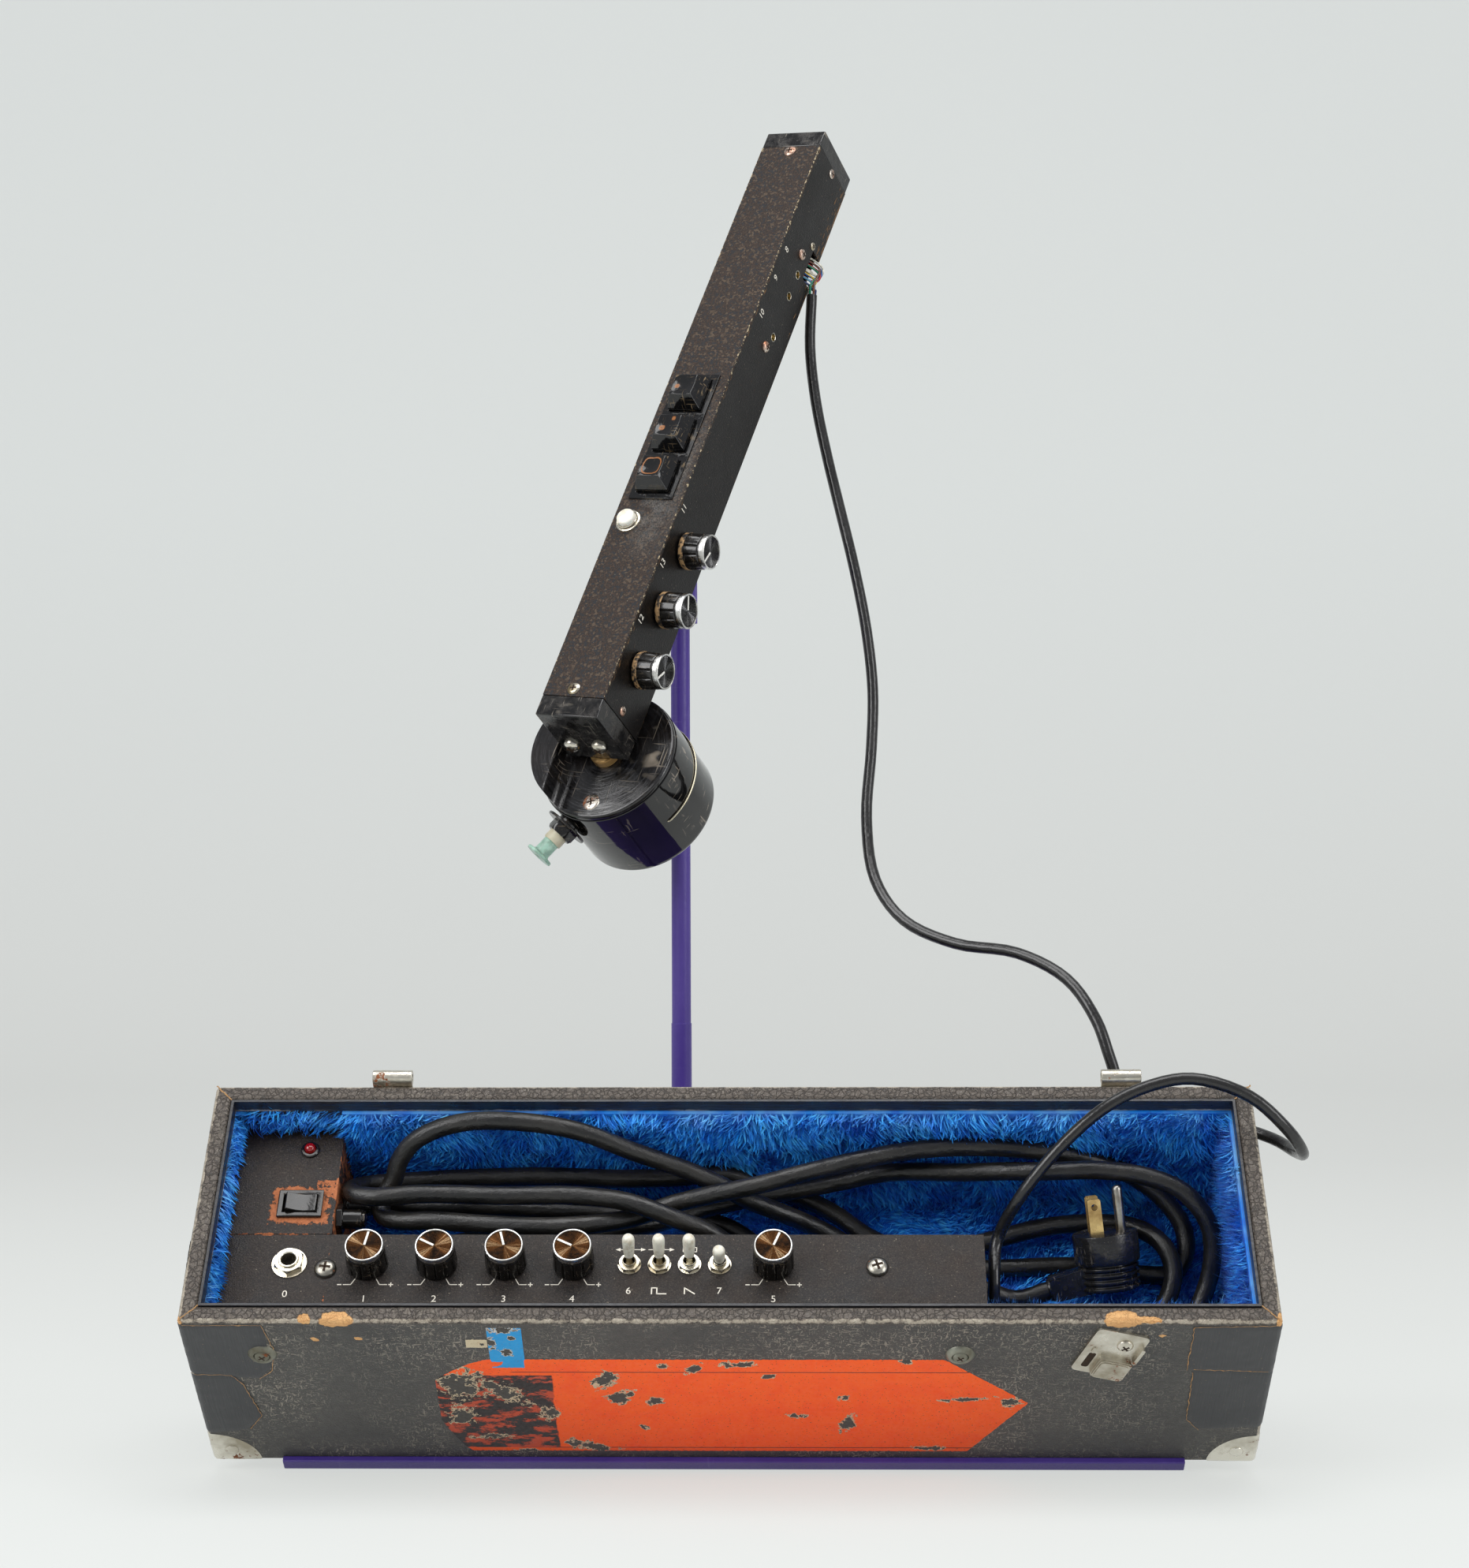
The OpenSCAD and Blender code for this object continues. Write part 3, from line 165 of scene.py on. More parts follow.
add(tree, "ShaderNodeOutputMaterial", Surface=both.outputs[0])

sweep_line = [(-3.2, 0.0), (1.6, 0.0)]
sweep_line += [(1.6 + 0.6 * math.sin(a * math.pi / 24), 0.6 - 0.6 * math.cos(a * math.pi / 24))
               for a in range(1, 13)]
sweep_line += [(2.2, 3.4)]
sweep_mesh = bpy.data.meshes.new("paper_sweep")
sweep_mesh.from_pydata([(x, y, z - 0.0002) for y, z in sweep_line for x in (-4, 4)], [],
                       [(2 * i, 2 * i + 1, 2 * i + 3, 2 * i + 2) for i in range(len(sweep_line) - 1)])
sweep_mesh.materials.append(paper)
sweep_mesh.shade_smooth()
sweep = bpy.data.objects.new("paper_sweep", sweep_mesh)
scene.collection.objects.link(sweep)

for name, spot, size, power in (("soft_left", (-1.7, -1.5, 1.5), (1.3, 1.6), 34),
        ("soft_right", (1.9, -1.2, 1.0), (0.9, 1.5), 17), ("soft_above", (0.1, -0.5, 2.1), (1.8, 1.2), 26)):
    lamp = bpy.data.lights.new(name, "AREA")
    lamp.shape, lamp.size, lamp.size_y, lamp.energy = "RECTANGLE", *size, power
    holder = bpy.data.objects.new(name, lamp)
    holder.location = spot
    holder.rotation_euler = (Vector((0, -0.1, 0.25)) - Vector(spot)).to_track_quat("-Z", "Y").to_euler()
    scene.collection.objects.link(holder)
room = bpy.data.worlds.new("room")
room.use_nodes = True
wire(room.node_tree, room.node_tree.nodes["Background"], {"Color": (0.93, 0.95, 1.0), "Strength": 0.42})
scene.world = room

# ---- Mains cord and wand cable ----
# The mains cord is a stiff round rubber-sheathed lead, laid by hand in long loops along the case's bay. The
# wand's cable is thinner and glossier: it hangs behind the case, comes in over its right end and turns under
# the panel to its socket. Both follow the route's own points.
tilt = math.radians(46.2)
case_mm = (move(0, -0.1375, 0.003 * (math.sin(tilt) + math.cos(tilt))) @ Matrix.Rotation(tilt, 4, "X")
           @ Matrix.Scale(0.001, 4))
wand_turn = Euler([math.radians(a) for a in (-31.9, 4.1, -27.8)])
wand_mm = move(-0.094, -0.0741, 0.3676) @ wand_turn.to_matrix().to_4x4() @ Matrix.Scale(0.001, 4)
row_mm = Matrix.Scale(0.001, 4)
case_half, case_deep, case_high, skin_round, wall, tray = 245.0, 132.0, 117.0, 2.3, 8.5, 31
plug_mm = (case_mm @ move(175, 78, 75) @ Matrix.Rotation(-tilt, 4, "X") @ spin(-6.5, "Y"))


class Finish:
    """A procedural finish: one Principled surface whose values other nodes may drive."""

    def __init__(self, name, colour, rough, metal=0.0, **plain):
        self.material = bpy.data.materials.new(name)
        self.material.use_nodes = True
        self.tree = self.material.node_tree
        self.surface = self.tree.nodes["Principled BSDF"]
        self.set(Base_Color=colour, Roughness=rough, Metallic=metal, **plain)
        coordinates = add(self.tree, "ShaderNodeTexCoord")
        self.place, self.map = coordinates.outputs["Object"], coordinates.outputs["UV"]

    def set(self, **sockets):
        wire(self.tree, self.surface, sockets)
        return self

    def within(self, matrix):
        """The place measured in a piece's own frame, in metres."""
        return add(self.tree, "ShaderNodeMapping", {"vector_type": "TEXTURE"}, Vector=self.place,
                   Location=matrix.to_translation(), Rotation=matrix.to_euler()).outputs[0]

    def relief(self, height, depth):
        """Bumps the surface by height times depth, in metres."""
        bump = add(self.tree, "ShaderNodeBump", Strength=1.0, Distance=depth, Height=height)
        self.set(Normal=bump.outputs[0])

    def read(self, name, output="Fac"):
        """A mesh attribute."""
        return add(self.tree, "ShaderNodeAttribute", {"attribute_name": name}).outputs[output]

    def group(self, shared, **sockets):
        """Places a shared effect in this finish."""
        return add(self.tree, "ShaderNodeGroup", {"node_tree": shared}, **sockets).outputs

    def marks(self, scale, amount, place=None):
        """Scratches, specks and smears from handling."""
        return self.group(handling, Vector=place or self.place, Scale=scale, Amount=amount)


def take(group, inputs):
    """Gives a node group its named inputs."""
    for label, kind, value in inputs:
        socket = group.interface.new_socket(label, in_out="INPUT", socket_type="NodeSocket" + kind)
        if value is not None:
            socket.default_value = value


def effect(name, inputs, outputs):
    """An empty node group with named inputs and outputs, and its two end nodes."""
    group = bpy.data.node_groups.new(name, "ShaderNodeTree")
    take(group, inputs)
    for label in outputs:
        group.interface.new_socket(label, in_out="OUTPUT", socket_type="NodeSocketFloat")
    return group, group.nodes.new("NodeGroupInput").outputs, group.nodes.new("NodeGroupOutput")


def mottled(name, colour, rough, one, two, scale, detail=3.0, span=None, metal=0.0, **plain):
    """A finish whose colour wanders between two shades."""
    finish = Finish(name, shade(*colour), rough, metal, **plain)
    share = cloud(finish.place, scale, detail)
    return finish.set(Base_Color=blend_of(between(share, *span) if span else share, shade(*one), shade(*two)))


def hairlines(place, ways, detail, low, high):
    """Fine lines, each set of them turned and stretched its own way."""
    return most(*[between(cloud(stretched(place, stretch, turn), 1.0, detail), low, high) for turn,
                  stretch in ways])


# Fine hairline scratches, dust specks and smears, that any handled surface has.
handling, given, result = effect("handling_marks", (("Vector", "Vector", None), ("Scale", "Float", 1.0),
    ("Amount", "Float", 0.5)), ("Scratches", "Specks", "Smears"))
sized = vector("SCALE", given["Vector"], Scale=given["Scale"])
scratch = hairlines(sized, (((0.3, 0.5, 0.6), (900, 30, 120)), ((0.9, -0.4, 2.1), (40, 800, 90)),
                            ((-0.5, 1.1, 1.2), (60, 110, 900))), 1.0, 0.66, 0.72)
patchy = between(cloud(sized, 60.0, 2.0), 0.45, 0.65)
wire(handling, result, {"_0": times(scratch, patchy, given["Amount"]),
                        "_1": times(between(cloud(sized, 900.0, 2.0), 0.70, 0.76), given["Amount"]),
                        "_2": cloud(sized, 38.0, 4.0, 0.65)})


def smooth_route(points, steps):
    """A curve through every point (centripetal), with steps pieces between neighbours."""
    p = [points[0] * 2 - points[1], *points, points[-1] * 2 - points[-2]]
    route = []
    for a, b, c, d in zip(p, p[1:], p[2:], p[3:]):
        t1 = (b - a).length ** 0.5
        t2 = t1 + (c - b).length ** 0.5
        t3 = t2 + (d - c).length ** 0.5
        for k in range(steps):
            t = t1 + (t2 - t1) * k / steps
            e = a * ((t1 - t) / t1) + b * (t / t1)
            f = b * ((t2 - t) / (t2 - t1)) + c * ((t - t1) / (t2 - t1))
            g = c * ((t3 - t) / (t3 - t2)) + d * ((t - t2) / (t3 - t2))
            h = e * ((t2 - t) / t2) + f * (t / t2)
            i = f * ((t3 - t) / (t3 - t1)) + g * ((t - t1) / (t3 - t1))
            route.append(h * ((t2 - t) / (t2 - t1)) + i * ((t - t1) / (t2 - t1)))
    return [*route, points[-1].copy()]


def shown(name, mesh, finishes, crease=None):
    """A mesh as an object in the scene, with its finishes, shaded smooth up to the crease in degrees."""
    for finish in finishes:
        mesh.materials.append(finish.material)
    mesh.shade_smooth()
    if crease:
        mesh.set_sharp_from_angle(angle=math.radians(crease))
    made = bpy.data.objects.new(name, mesh)
    scene.collection.objects.link(made)
    return made


def claim(made, body, covers="", slot=None):
    """Rides a piece on its body and hides the solids that it stands for. The slot is not used."""
    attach(made, body)
    if covers:
        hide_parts(*covers.split())
    return made


def sheath(name, route, radius, sides, finish):
    """A closed round tube along a route in metres, with its own map: u round it, v along it in metres."""
    ahead = [(route[min(i + 1, len(route) - 1)] - route[max(i - 1, 0)]).normalized()
             for i in range(len(route))]
    side = ahead[0].orthogonal().normalized()
    rings, run = [], [0.0]
    for i, (point, along) in enumerate(zip(route, ahead)):
        side = (side - along * side.dot(along)).normalized()
        other = along.cross(side)
        rings += [point + radius * (side * math.cos(k * math.tau / sides) + other
            * math.sin(k * math.tau / sides)) for k in range(sides)]
        if i:
            run.append(run[-1] + (point - route[i - 1]).length)
    last = (len(route) - 1) * sides
    faces = [(i * sides + k, i * sides + (k + 1) % sides, (i + 1) * sides + (k + 1) % sides,
              (i + 1) * sides + k) for i in range(len(route) - 1) for k in range(sides)]
    mesh = bpy.data.meshes.new(name)
    mesh.from_pydata(rings, [], faces + [tuple(range(sides))[::-1], tuple(range(last, last + sides))])
    unwrapped = mesh.uv_layers.new(name="round_and_along")
    for face in mesh.polygons[:-2]:
        i, k = divmod(face.index, sides)
        for loop, (u, v) in zip(face.loop_indices, ((k, i), (k + 1, i), (k + 1, i + 1), (k, i + 1))):
            unwrapped.data[loop].uv = (u / sides, run[v])
    return shown(name, mesh, [finish], 50)


mains_points = [case_mm @ Vector(p) for p in ((-171.9, 95, 72), (-166, 95, 72), (-146, 93, 74),
    (-116, 91, 76), (-88, 90, 75), (-65, 92, 71), (-44, 96, 63), (-24, 99, 56), (-3, 98, 50), (13, 88, 44),
    (18, 70, 42), (9, 52, 42), (-14, 39, 42), (-50, 33, 42), (-90, 31, 42), (-126, 33, 42), (-149, 42, 45),
    (-157, 56, 53), (-149, 68, 65), (-128, 72, 74), (-100, 71, 79), (-72, 73, 79), (-53, 79, 75),
    (-36, 86, 70), (-14, 97, 66), (8, 104, 65), (30, 108, 66), (52, 111, 69), (75, 112, 75), (108, 109, 79),
    (130, 106, 84), (148, 103, 88), (172, 103, 89), (193, 100, 89), (212, 93, 86), (224, 82, 76),
    (226, 70, 62), (221, 57, 49), (211, 42, 42), (194, 29, 42), (168, 22, 42), (130, 21, 42), (95, 23, 42),
    (66, 29, 42), (42, 39, 45), (25, 51, 52), (11, 62, 62), (0, 69, 74), (-10, 71, 84), (-26, 73, 92),
    (-48, 80, 95.5), (-72, 84, 95), (-108, 84, 95), (-145, 85, 95), (-167, 84, 94), (-178, 88, 91),
    (-180, 95, 85), (-173, 102, 79), (-155, 106, 76), (-125, 108, 76), (-89, 109, 76), (-55, 109, 74),
    (-28, 112, 71), (-4, 115, 69), (17, 115, 58), (37, 111, 53), (51, 104, 50), (64, 95, 47), (80, 89, 44),
    (100, 88, 44), (125, 92, 48), (147, 96, 52), (170, 96, 56), (191, 91, 60), (204, 79, 62), (208, 67, 57),
    (203, 54, 49), (189, 44, 43), (166, 41, 42), (138, 41, 42), (112, 50, 42), (90, 65, 42), (69, 79, 44),
    (54, 88, 50), (38, 93, 58), (22, 94, 68), (8, 95, 76), (-6, 99, 83), (-22, 104, 88), (-46, 107, 98),
    (-72, 111, 109), (-100, 112, 115), (-128, 112, 114), (-148, 108, 107), (-157, 103, 97), (-160, 98, 89),
    (-165, 91, 82.5), (-165, 83, 81.5), (-157, 77, 85), (-139, 74, 89), (-112, 71, 90), (-85, 70, 90),
    (-63, 73, 88), (-46, 79, 84.5), (-28, 87, 84), (-8, 90, 88), (12, 92, 92), (36, 99, 93), (64, 107, 93),
    (90, 113, 92), (121, 115, 91), (150, 115, 87), (174, 115, 79), (192, 113, 70), (206, 106, 62),
    (215, 95, 55), (216, 84, 49), (210, 76, 44), (197, 76, 42), (178, 80, 42), (158, 81, 42), (136, 80, 42),
    (118, 79, 42), (104, 76, 44), (96, 68, 51), (102, 60, 56), (117, 57, 58))]
relief_ahead = Vector((math.cos(math.radians(9)), 0, math.sin(math.radians(9))))
mains_points += [plug_mm @ (Vector((-28, 0, -24.6)) - run * relief_ahead) for run in (17, 0.1)]
cable_points = [row_mm @ Vector((x, y - 137.5, z)) for x, y,
                z in ((40, 205, 587), (39, 200, 558), (42, 193, 528), (48, 185, 497), (54, 178, 471),
                      (62, 168, 436), (68, 160, 403), (71, 154, 372), (70, 144, 342), (67, 130, 305),
                      (71, 114, 274), (85, 100, 254), (110, 86, 243), (140, 70, 239), (163, 56, 227),
                      (176, 44, 208), (182, 38, 190), (187, 38, 176), (199, 42, 163), (221, 45, 157),
                      (243, 44, 156), (259, 32, 152), (267, 14, 148), (267, -6, 150), (258, -20, 162),
                      (240, -22, 178), (214, -20, 186), (192, -20, 182), (172, -22, 172), (151, -22, 153),
                      (134, -20, 131), (124, -12, 110))]
cable_points += [case_mm @ Vector(p) for p in ((122, 50, 78), (122, 38, 68), (125, 26, 59), (137, 19, 54),
    (158, 16, 53), (181, 15, 54), (198, 17, 56), (209, 24, 57), (210, 34, 57), (199, 41, 57), (178, 40, 54.5),
    (150, 36, 51), (122, 33, 50), (95, 34, 52), (70, 33, 57), (55, 33, 61.5), (44, 33, 63), (38.1, 33, 63))]

rubber = Finish("cord_rubber", shade(31, 30, 29), 0.42, Specular_IOR_Level=0.55)
along = stretched(rubber.map, (3, 40, 1))
marks = rubber.marks(1.0, 0.8)
worn = between(cloud(along, 1.0, 4.0), 0.42, 0.68)
rubber.set(Base_Color=blend_of(times(marks[1], 0.5), blend_of(worn, shade(17, 17, 17), shade(38, 36, 33)),
    shade(120, 110, 96)), Roughness=plus(between(marks[2], 0.3, 0.7, 0.25, 0.45), times(marks[0], 0.2)))
rubber.relief(plus(cloud(along, 2.0, 3.0), times(cloud(rubber.place, 1400.0, 2.0), 0.18)), 0.0007)
vinyl_sheath = Finish("cable_vinyl", shade(22, 22, 23), 0.24, Specular_IOR_Level=0.6)
marks = vinyl_sheath.marks(1.3, 0.9)
vinyl_sheath.set(Base_Color=blend_of(marks[1], blend_of(marks[2], shade(17, 17, 18), shade(30, 29, 28)),
    shade(96, 90, 80)), Roughness=between(marks[2], 0.3, 0.7, 0.17, 0.34))
vinyl_sheath.relief(cloud(vinyl_sheath.place, 150.0, 2.0), 0.0004)

mains_route = smooth_route(mains_points, 4)
mains = claim(sheath("mains_cord", mains_route, 0.0044, 16, rubber), "instrument", "power_cord",
              "cord_rubber")
cable_route = smooth_route(cable_points, 5)
cable = claim(sheath("wand_lead", cable_route, 0.0029, 14, vinyl_sheath), "instrument", "wand_cable",
              "cord_rubber")


# ---- Mains plug ----
# A black moulded vinyl plug: a round body with two brass blades and a steel earth pin, four grip ribs below
# it, and a flat strain relief that leans to the left and takes the cord.
def softened(profile, radius):
    """Rounds the corners of a line of (r, z) points, with three points in place of each."""
    line = [profile[0]]
    for a, b, c in zip(profile, profile[1:], profile[2:]):
        a, b, c = Vector(a), Vector(b), Vector(c)
        cut = min(radius, (a - b).length * 0.45, (c - b).length * 0.45)
        p, q = b + (a - b).normalized() * cut, b + (c - b).normalized() * cut
        line += [tuple(p), tuple(p * 0.25 + b * 0.5 + q * 0.25), tuple(q)]
    return [*line, profile[-1]]


def turned(form, profile, sides=32, place=Matrix.Identity(4), finish=0, wave=None):
    """Turns a line of (r, z) points about Z, from its lower end to its upper one. wave(angle, z) scales r."""
    rings = []
    for r, z in profile:
        if r < 1e-6:
            rings.append([form.verts.new(place @ Vector((0, 0, z)))])
        else:
            ring = []
            for a in (math.tau * k / sides for k in range(sides)):
                wide = r * (wave(a, z) if wave else 1)
                ring.append(form.verts.new(place @ Vector((wide * math.cos(a), wide * math.sin(a), z))))
            rings.append(ring)
    for low, high in zip(rings, rings[1:]):
        for k in range(sides):
            j = (k + 1) % sides
            corners = [low[k % len(low)], low[j % len(low)], high[j % len(high)], high[k % len(high)]]
            corners = [v for i, v in enumerate(corners) if v not in corners[:i]]
            if len(corners) > 2:
                form.faces.new(corners).material_index = finish


def prism(form, outline, z0, z1, place=Matrix.Identity(4), finish=0):
    """An outline of (x, y) points, counter-clockwise, raised from z0 to z1."""
    low = [form.verts.new(place @ Vector((x, y, z0))) for x, y in outline]
    top = [form.verts.new(place @ Vector((x, y, z1))) for x, y in outline]
    n = len(outline)
    made = [form.faces.new(top), form.faces.new(low[::-1])]
    made += [form.faces.new((low[i], low[(i + 1) % n], top[(i + 1) % n], top[i])) for i in range(n)]
    for face in made:
        face.material_index = finish


def slab(form, low, high, place=Matrix.Identity(4), finish=0):
    """A plain block between two corners."""
    prism(form, [(low[0], low[1]), (high[0], low[1]), (high[0], high[1]), (low[0], high[1])], low[2], high[2],
          place, finish)


def holed_plate(form, low, high, hole, radius, thick, place=Matrix.Identity(4), finish=0, sides=24):
    """A plate in X and Y with one round hole through it."""
    corners = [math.atan2(y - hole[1], x - hole[0]) for x in (low[0], high[0]) for y in (low[1], high[1])]
    turns = sorted([math.tau * k / sides - math.pi + 0.01 for k in range(sides)] + corners)
    rims = []
    for z in (0, thick):
        inner, outer = [], []
        for a in turns:
            c, s = math.cos(a), math.sin(a)
            reach = min(((high[0] if c > 0 else low[0]) - hole[0]) / c if abs(c) > 1e-9 else 1e9,
                        ((high[1] if s > 0 else low[1]) - hole[1]) / s if abs(s) > 1e-9 else 1e9)
            inner.append(form.verts.new(place @ Vector((hole[0] + radius * c, hole[1] + radius * s, z))))
            outer.append(form.verts.new(place @ Vector((hole[0] + reach * c, hole[1] + reach * s, z))))
        rims.append((inner, outer))
    (a, b), (c, d) = rims
    n = len(turns)
    for i in range(n):
        j = (i + 1) % n
        for face in ((c[i], d[i], d[j], c[j]), (a[j], b[j], b[i], a[i]), (b[i], b[j], d[j], d[i]),
                (a[j], a[i], c[i], c[j])):
            form.faces.new(face).material_index = finish


def settled(name, form, place, finishes, crease, bevel, segments=2):
    """The object that a form becomes, in its place, with eased edges. The form is used up."""
    mesh = bpy.data.meshes.new(name)
    form.to_mesh(mesh)
    form.free()
    mesh.transform(place)
    made = shown(name, mesh, finishes, crease)
    if bevel:
        edge = made.modifiers.new("edges", "BEVEL")
        edge.width, edge.segments = bevel / 1000, segments
        edge.limit_method, edge.angle_limit = "ANGLE", math.radians(crease)
    return made


def make(name, form, place, finishes, covers="", slot=None, bevel=0.0, crease=35, join=True, segments=2,
         body="instrument"):
    """A piece from a form in millimetres, put in its place and ridden on its body."""
    if join:
        bmesh.ops.remove_doubles(form, verts=form.verts, dist=1e-4)
    bmesh.ops.recalc_face_normals(form, faces=form.faces)
    made = settled(name, form, place, finishes, crease, bevel, segments)
    if bevel:
        made.modifiers["edges"].harden_normals = True
    return claim(made, body, covers, slot)


moulded = Finish("moulded_vinyl", shade(24, 24, 25), 0.25, Specular_IOR_Level=0.6)
marks = moulded.marks(1.6, 1.0)
moulded.set(Base_Color=blend_of(most(marks[0], marks[1]),
    blend_of(marks[2], shade(17, 17, 18), shade(34, 33, 33)), shade(104, 98, 90)),
            Roughness=plus(between(marks[2], 0.3, 0.7, 0.14, 0.34), times(marks[0], 0.3)))
moulded.relief(cloud(moulded.place, 260.0, 3.0), 0.00025)
blade_brass = Finish("blade_brass", shade(214, 182, 120), 0.28, 1.0)
marks = blade_brass.marks(2.0, 1.0)
blade_brass.set(Base_Color=blend_of(between(marks[2], 0.42, 0.7), shade(222, 192, 132), shade(150, 112, 62)),
                Roughness=between(marks[2], 0.3, 0.7, 0.2, 0.42))
pin_steel = Finish("pin_steel", shade(170, 168, 160), 0.3, 1.0)
marks = pin_steel.marks(2.0, 1.0)
pin_steel.set(Base_Color=blend_of(between(marks[2], 0.4, 0.7), shade(188, 186, 178), shade(118, 108, 94)))

form = bmesh.new()
turned(form, softened([(0, -14.4), (14.9, -14.4), (15.4, -13.2), (15.4, -0.2), (0, 0)], 0.9), 48)
grip = [(0, -27), (13.0, -27)]
for rib in range(4):
    z = -26.6 + 3.1 * rib
    grip += [(13.1, z), (14.3, z + 0.35), (14.3, z + 1.75), (13.1, z + 2.15)]
turned(form, softened([*grip, (13.1, -14.2), (0, -14.2)], 0.4), 48)
lean = move(-28, 0, -24.6) @ spin(-9, "Y")
relief_side = [(0.6, -5.2), (18.5, -6.2), (18.5, 6.2), (0.6, 5.6), (0, 4.8), (0, -4.6)]
to_side = Matrix(((1, 0, 0, 0), (0, 0, -1, 0), (0, 1, 0, 0), (0, 0, 0, 1)))
prism(form, relief_side, -6, 6, lean @ to_side)
turned(form, [(0, 6.0), (1.1, 6.0), (1.1, 5.92), (0, 5.92)], 16, lean @ to_side @ move(6.5, 0, 0.2), 1)
slab(form, (11.2, -2.8, 5.8), (12.6, 2.6, 6.08), lean @ to_side, 1)
slab(form, (11.2, -2.8, 6.0), (12.0, 2.6, 6.35), lean @ to_side @ move(1.8, 0, 0), 0)
turned(form, softened([(0, -1.2), (5.1, -1.2), (5.4, 0.6), (0, 0.6)], 0.3), 24, lean @ spin(90, "Y"), 0)
plug_body = make("plug_body", form, plug_mm, [moulded, rubber], "mains_plug", "black_plastic", 0.35)
form = bmesh.new()
for y in (-6.35, 6.35):
    flat = move(-3.9, y + 0.75, 0) @ spin(90, "X")
    holed_plate(form, (-3.1, -1.2), (3.1, 15.6), (0, 12.6), 1.5, 1.5, flat)
    prism(form, [(-3.1, 15.6), (3.1, 15.6), (2.3, 16.4), (-2.3, 16.4)], 0.1, 1.4, flat)
make("plug_blades", form, plug_mm, [blade_brass], bevel=0.18)
form = bmesh.new()
turned(form, [(0, -1), (2.4, -1), (2.4, 18.6), (2.25, 19.5), (1.8, 20.3), (1.0, 20.8), (0, 20.95)], 24,
       move(8, 0, 0))
make("plug_earth_pin", form, plug_mm, [pin_steel])

# ---- Carrying case ----
# A long plywood box covered in dark grained vinyl cloth that is glued round every edge. The vinyl is crackled
# and scuffed, worn to its pale backing along the rim, and chipped to bare wood where the front latches were.
grain, given, result = effect(
    "vinyl_grain", (("Vector", "Vector", None), ("Size", "Float", 2.5)), ("Cracks", "Height", "Scuffs"))
swell = add(grain, "ShaderNodeTexNoise", Vector=given["Vector"], Scale=220.0, Detail=2.0).outputs[1]
pushed = vector("MULTIPLY_ADD", swell, (0.004, 0.004, 0.004), given["Vector"])
fine = calc("DIVIDE", 1000.0, given["Size"])
crack, crease = [between(add(grain, "ShaderNodeTexVoronoi", {"feature": "DISTANCE_TO_EDGE"}, Vector=pushed,
    Scale=size).outputs["Distance"], wide, 0.02) for size, wide in ((fine, 0.11), (times(fine, 2.3), 0.10))]
hair = hairlines(pushed, (((0.4, 0.2, 0.5), (1500, 260, 260)), ((0.2, 1.0, -0.7), (260, 260, 1500)),
                          ((1.1, 0.3, 1.4), (1300, 300, 1300))), 0.0, 0.68, 0.74)
wire(grain, result, {"_0": crack, "_1": minus(times(cloud(pushed, 420.0, 2.0), 0.3),
    plus(times(crack, 0.7), times(crease, 0.3))), "_2": times(hair,
    between(cloud(given["Vector"], 26.0, 3.0), 0.38, 0.62))})

# Where the vinyl has gone: the middle of each spot, its half width and height, in the case's own frame.
bare_spots = (((-0.1742, 0.0, 0.1160), (0.0078, 0.0062, 0.0034)),
              ((-0.1885, 0.0, 0.1166), (0.0034, 0.0045, 0.0020)),
              ((0.1745, 0.0, 0.1162), (0.0086, 0.0070, 0.0034)),
              ((0.1860, 0.0, 0.1170), (0.0066, 0.0035, 0.0015)),
              ((-0.1850, 0.0, 0.1029), (0.0019, 0.0020, 0.0014)),
              ((-0.1654, 0.0, 0.1035), (0.0019, 0.0020, 0.0015)),
              ((0.1854, 0.0, 0.1042), (0.0016, 0.0020, 0.0013)),
              ((0.1930, 0.0, 0.1061), (0.0013, 0.0020, 0.0011)),
              ((0.2442, 0.0, 0.1165), (0.0020, 0.0060, 0.0050)),
              ((-0.2445, 0.0, 0.1168), (0.0018, 0.0040, 0.0030)))
vinyl = Finish("case_vinyl", shade(76, 74, 70), 0.55)
t = vinyl.tree
spot = vinyl.within(case_mm)
xyz = axes(spot)
on_top = between(xyz[2], 0.1140, 0.1158)
coarse = vinyl.group(grain, Vector=spot, Size=2.9)
dense = vinyl.group(grain, Vector=spot, Size=2.0)
cracks = add(t, "ShaderNodeMix", _0=on_top, _2=times(dense[0], 0.25), _3=coarse[0]).outputs[0]
height = add(t, "ShaderNodeMix", _0=on_top, _2=times(dense[1], 0.30), _3=coarse[1]).outputs[0]
reach = [between(apart(xyz[axis], middle), half - 0.0024, half)
         for axis, middle, half in ((0, 0.0, 0.245), (1, 0.066, 0.066), (2, 0.0585, 0.0585))]
edge = plus(reach[0], reach[1], reach[2])
ragged = cloud(spot, 240.0, 4.0, 0.7)
edge_worn = between(plus(edge, times(ragged, 0.9)), 1.72, 1.84)
bare = 0.0
rough_edge = add(t, "ShaderNodeTexNoise", Vector=spot, Scale=300.0, Detail=3.0).outputs[1]
jagged = vector("MULTIPLY_ADD", rough_edge, (0.005, 0.004, 0.003), spot)
for centre, half in bare_spots:
    away = vector("SUBTRACT", jagged, tuple(c + o for c, o in zip(centre, (0.0025, 0.002, 0.0015))))
    scaled = vector("DIVIDE", away, half)
    length = add(t, "ShaderNodeVectorMath", {"operation": "LENGTH"}, _0=scaled).outputs["Value"]
    bare = most(between(length, 1.0, 0.93), bare)
streaks = stretched(spot, (90, 900, 900))
wood = blend_of(cloud(streaks, 1.0, 4.0, 0.7), shade(176, 106, 48), shade(246, 204, 142))
stain = between(cloud(spot, 14.0, 4.0, 0.6), 0.35, 0.7)
cloth = blend_of(stain, shade(60, 59, 57), shade(76, 74, 70))
